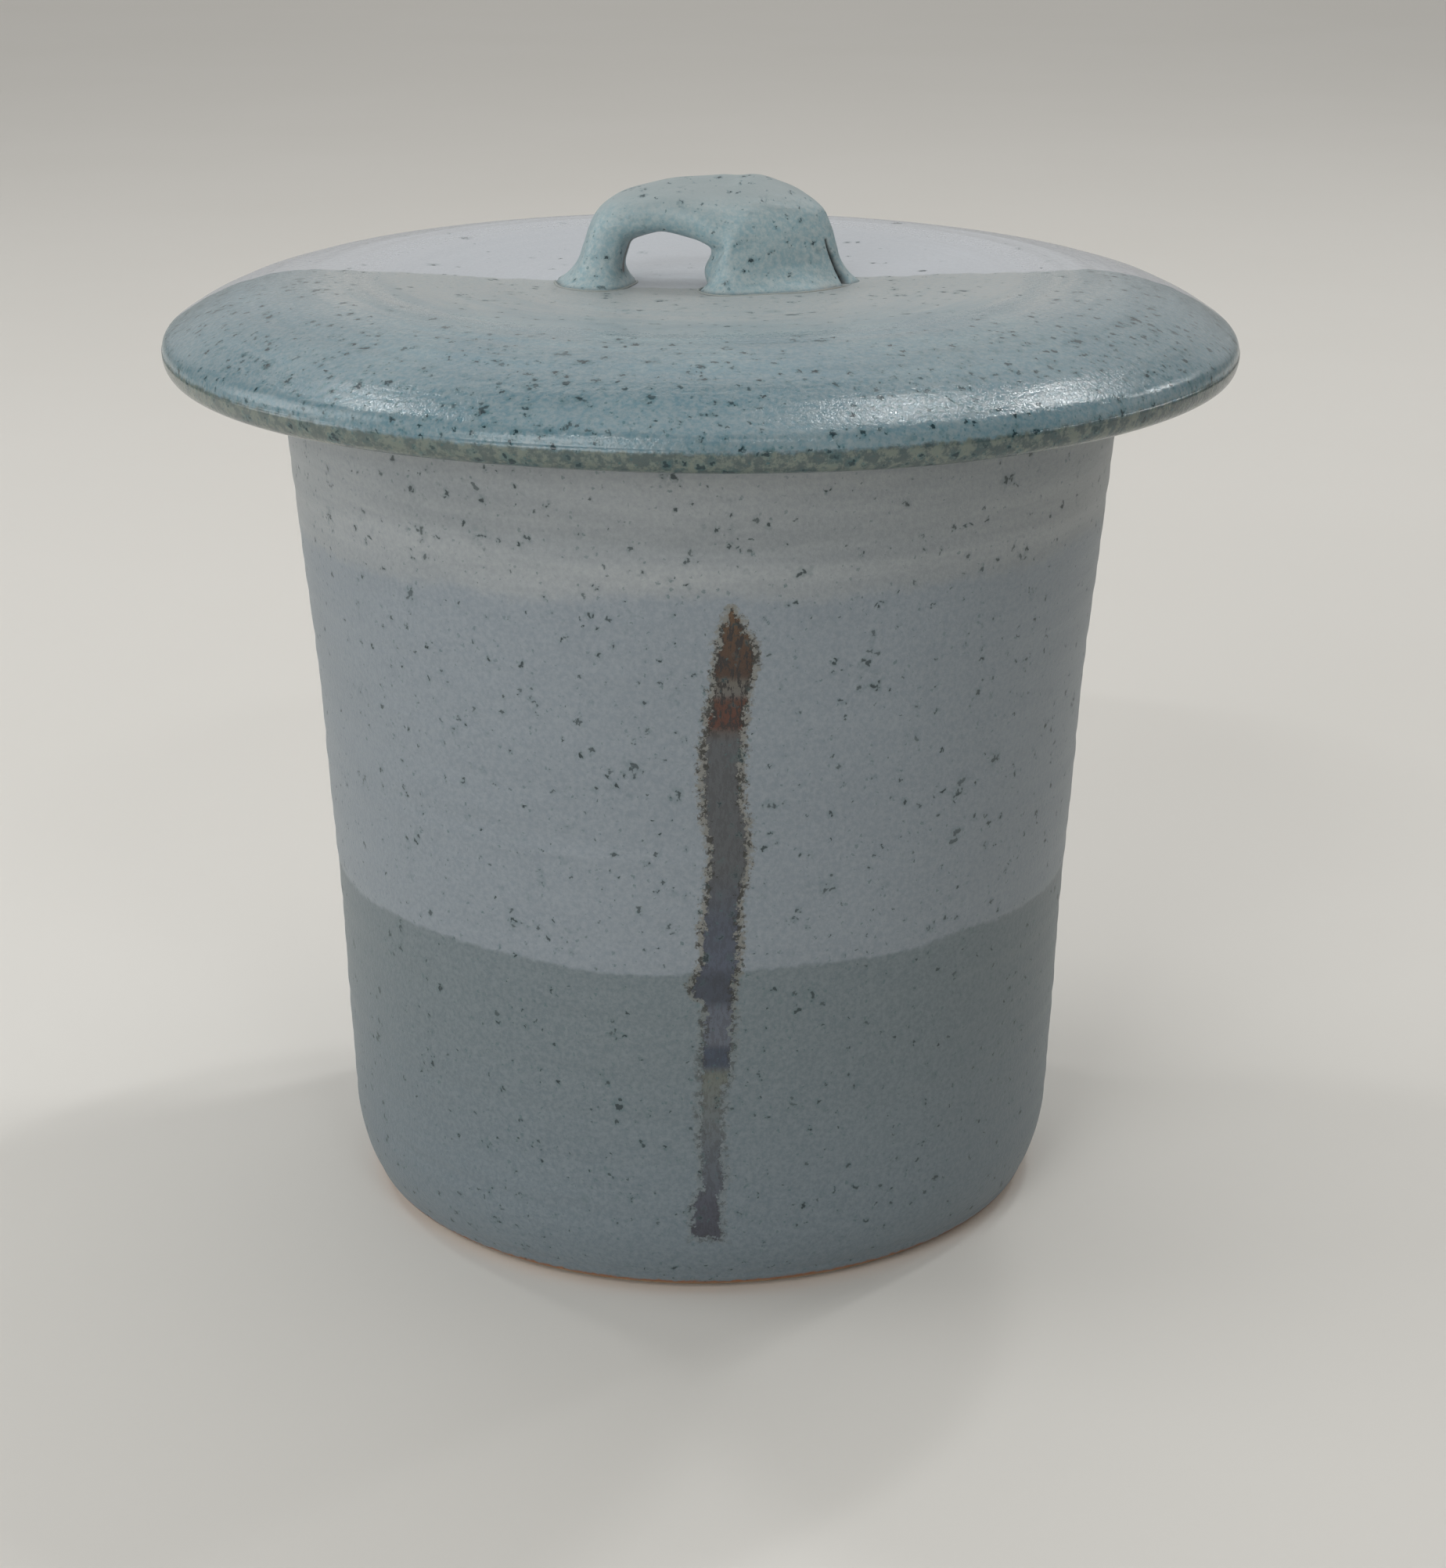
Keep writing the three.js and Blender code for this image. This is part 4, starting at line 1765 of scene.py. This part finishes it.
    def foot_line(self, points: np.ndarray, left: bool) -> np.ndarray:
        """Follows the front of one foot, where it meets the lid.

        Args:
            points: the strap's points.
            left: the left foot, or else the right one.

        Returns:
            Places on the lid, from the foot's left side round its front to its right side.
        """
        skin = self.lid.top_height(np.hypot(points[:, 0], points[:, 1]))
        there = (np.abs(points[:, 2] - skin - 0.1) < 0.25) & ((points[:, 0] < self.between_feet) == left)
        low = points[there, :2]
        middle = (low.min(axis=0) + low.max(axis=0)) / 2
        arm = low - middle
        turn = np.arctan2(arm[:, 1], arm[:, 0])
        far = np.linalg.norm(arm, axis=1)
        angles = np.radians(np.linspace(-188.0, 8.0, 64))
        reach = np.zeros(len(angles))
        for index, angle in enumerate(angles):
            near = np.cos(turn - angle) > math.cos(math.radians(4.0))
            reach[index] = far[near].max() if near.any() else reach[index - 1]
        reach = np.convolve(np.pad(reach, 2, "edge"), np.full(5, 0.2), "valid")
        return middle + np.stack([np.cos(angles), np.sin(angles)], axis=1) * reach[:, None]

    def ridge(self, flat: np.ndarray) -> tuple[np.ndarray, list[tuple[int, ...]]]:
        """Rolls the thin ridge of slip that was squeezed out in front of a foot.

        Args:
            flat: the places on the lid that it follows.

        Returns:
            Its points in millimetres and its faces.
        """
        height = self.lid.top_height(np.hypot(flat[:, 0], flat[:, 1]))
        middle = np.column_stack([flat, height + 0.03])
        along = np.gradient(middle, axis=0)
        along /= np.linalg.norm(along, axis=1, keepdims=True)
        side = np.cross(along, np.array((0.0, 0.0, 1.0)))
        run = np.arange(len(middle))
        lump = self.bead_radius * (1 + 0.35 * ripples(run * 1.0, 21, (5.0, 9.0, 17.0)))
        lump = lump * np.clip(np.minimum(run, run[::-1]) / 8, 0.15, 1)
        corners = self.bead_sides
        turns = 2 * math.pi * np.arange(corners) / corners
        offset = side[:, None] * np.cos(turns)[None, :, None] * self.bead_width
        offset[:, :, 2] += np.sin(turns)
        points = (middle[:, None] + offset * lump[:, None, None]).reshape(-1, 3)
        faces = tube_faces(len(middle), corners)
        last = (len(middle) - 1) * corners
        faces.append(tuple(range(corners))[::-1])
        faces.append(tuple(range(last, last + corners)))
        return points, faces

    def add_ridges(self, piece: bpy.types.Object) -> int:
        """Joins both ridges of slip to the strap.

        Args:
            piece: the strap, whose mesh is replaced.

        Returns:
            How many points the ridges have, the last ones of the mesh.
        """
        strap = points_of(piece)
        points = strap
        faces = [tuple(face.vertices) for face in piece.data.polygons]
        for left in (True, False):
            more, skin = self.ridge(self.foot_line(strap, left))
            faces += [tuple(len(points) + index for index in face) for face in skin]
            points = np.concatenate([points, more])
        piece.data = mesh_of("pulled_strap", points, faces)
        return len(points) - len(strap)

    def build(self) -> bpy.types.Object:
        """Makes the strap, dressed and riding.

        Returns:
            The piece.
        """
        piece = self.sweep()
        self.soften(piece)
        self.rub(piece)
        self.knead(piece)
        cracked = self.crack(piece)
        beads = self.add_ridges(piece)
        points = points_of(piece)
        none = np.zeros(len(points))
        beaded = none.copy()
        beaded[-beads:] = 1.0
        away = near_line(points, self.skin_line(-66.0)[12:88])
        hole = np.exp(-((away / self.hole_line) ** 2)) * (1 - beaded)
        toe = np.array((self.right_foot + 8.0, -self.front_lean - 2.6, self.ground + 0.6))
        patch = np.exp(-((np.linalg.norm(points - toe, axis=1) / 1.9) ** 2))
        paint(piece, "hole_edge", hole)
        paint(piece, "edge", none)
        paint(piece, "clay", none)
        paint(piece, "slip", np.clip(beaded * 0.75 + patch, 0, 1))
        # A dark line along the strap's foot, where it meets the lid, painted in with the crack's darkening.
        skin = self.lid.top_height(np.hypot(points[:, 0], points[:, 1]))
        seam = np.exp(-(((points[:, 2] - skin) / self.seam) ** 2)) * (1 - beaded) * 0.5
        paint(piece, "crack", np.maximum(np.concatenate([cracked, np.zeros(beads)]), seam))
        smooth(piece)
        finish = TealGlaze(name="teal_glaze_strap", strap=True, specks=STRAP_SPECKS)
        piece.data.materials.append(finish.material())
        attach(piece, Body.LID.value)
        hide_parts("strap_handle")
        return piece


# ---------------------------------------------------------------- the studio


@dataclass
class Lamp:
    """A soft panel of light."""

    name: str
    place: tuple[float, float, float]
    aim: tuple[float, float, float]
    width: float
    height: float
    power: float

    def hang(self) -> None:
        """Hangs the panel."""
        data = bpy.data.lights.new(self.name, "AREA")
        data.shape = "RECTANGLE"
        data.size = self.width
        data.size_y = self.height
        data.energy = self.power
        lamp = put_in_scene(self.name, data)
        lamp.location = self.place
        way = Vector(self.aim) - Vector(self.place)
        lamp.rotation_euler = way.to_track_quat("-Z", "Y").to_euler()


@dataclass
class Studio:
    """A plain pale floor, soft light from the left, and a camera in front and a little above."""

    floor_half: float = 4.0
    floor_drop: float = -0.00005
    floor_colour: Colour = tint(226, 224, 219)
    floor_shade: Colour = tint(222, 220, 214)
    floor_roughness: float = 0.8
    sky: Colour = tint(232, 226, 216)
    sky_power: float = 0.16
    camera_place: tuple[float, float, float] = (0.00242, -0.3716, 0.1771)
    camera_drop: float = 19.03
    camera_roll: float = -0.14
    focal_length: float = 71.86
    sensor: float = 36.0

    def lay_floor(self) -> None:
        """Lays the floor."""
        half = self.floor_half
        corners = [(-half, -half), (half, -half), (half, half), (-half, half)]
        shape = bpy.data.meshes.new("studio_floor")
        shape.from_pydata([(x, y, self.floor_drop) for x, y in corners], [], [(0, 1, 2, 3)])
        floor = put_in_scene("studio_floor", shape)
        made = bpy.data.materials.new("studio_floor")
        made.use_nodes = True
        sheet = NodeSheet(made.node_tree)
        place = sheet.node("ShaderNodeTexCoord").outputs["Object"]
        soft = sheet.noise(place, 9.0, 3.0, 0.5)
        sheet.surface(sheet.blend(soft, self.floor_shade, self.floor_colour), self.floor_roughness)
        shape.materials.append(made)

    def light(self) -> None:
        """Lights the room."""
        world = bpy.data.worlds.new("studio_sky")
        bpy.context.scene.world = world
        world.use_nodes = True
        sheet = NodeSheet(world.node_tree)
        glow = sheet.node("ShaderNodeBackground")
        sheet.feed(glow.inputs["Color"], self.sky)
        glow.inputs["Strength"].default_value = self.sky_power
        out = sheet.node("ShaderNodeOutputWorld")
        sheet.feed(out.inputs["Surface"], glow.outputs[0])
        middle = (0.0, 0.0, 0.07)
        on_lid = (0.0, -0.02, 0.11)
        for lamp in (
            Lamp("left_window", (-0.85, 0.05, 0.42), middle, 0.55, 0.55, 2.3),
            Lamp("front_left", (-0.5, -0.9, 0.32), middle, 0.6, 0.45, 3.5),
            Lamp("front_right", (0.5, -0.95, 0.36), middle, 0.5, 0.4, 0.3),
            Lamp("right_window", (0.9, 0.1, 0.35), middle, 0.5, 0.5, 0.45),
            Lamp("rear_wall", (0.0, 2.9, 0.95), middle, 4.4, 1.5, 9.0),
            Lamp("far_ceiling", (0.0, 1.9, 1.7), (0.0, 1.9, 0.0), 3.0, 1.4, 11.0),
            Lamp("near_ceiling", (0.0, -2.3, 1.8), (0.0, -2.3, 0.0), 3.6, 1.6, 5.5),
            Lamp("ceiling", (0.0, 0.0, 1.3), middle, 0.9, 0.9, 2.6),
            Lamp("pane_high", (0.34, 0.4, 1.17), on_lid, 0.05, 0.1, 1.3),
            Lamp("pane_middle", (0.6, 0.5, 1.0), on_lid, 0.08, 0.08, 1.5),
            Lamp("pane_low", (0.88, 0.62, 0.68), on_lid, 0.07, 0.08, 0.8),
            Lamp("left_pane", (-0.6, 0.44, 1.03), on_lid, 0.08, 0.08, 1.0),
            Lamp("front_pane_left", (-0.38, -0.96, 0.92), on_lid, 0.34, 0.02, 1.6),
            Lamp("front_pane_right", (0.3, -0.98, 0.92), on_lid, 0.2, 0.02, 0.7),
        ):
            lamp.hang()

    def set_camera(self) -> None:
        """Sets the camera."""
        data = bpy.data.cameras.new("front_camera")
        data.sensor_fit = "AUTO"
        data.sensor_width = self.sensor
        data.lens = self.focal_length
        data.clip_start = 0.01
        camera = put_in_scene("front_camera", data)
        camera.location = self.camera_place
        camera.rotation_mode = "XYZ"
        camera.rotation_euler = (math.radians(90.0 - self.camera_drop), math.radians(self.camera_roll), 0.0)
        bpy.context.scene.camera = camera
        bpy.context.scene.view_settings.view_transform = "Standard"

    def build(self) -> None:
        """Makes the whole studio."""
        self.lay_floor()
        self.light()
        self.set_camera()


def main() -> None:
    """Builds the jar, its lid and strap, and the studio."""
    logging.basicConfig(level=logging.INFO, format="%(name)s: %(message)s")
    lid = DishedLid()
    pieces = [ThrownBody().build(), lid.build(), StrapHandle(lid).build()]
    Studio().build()


if __name__ == "__main__":
    main()
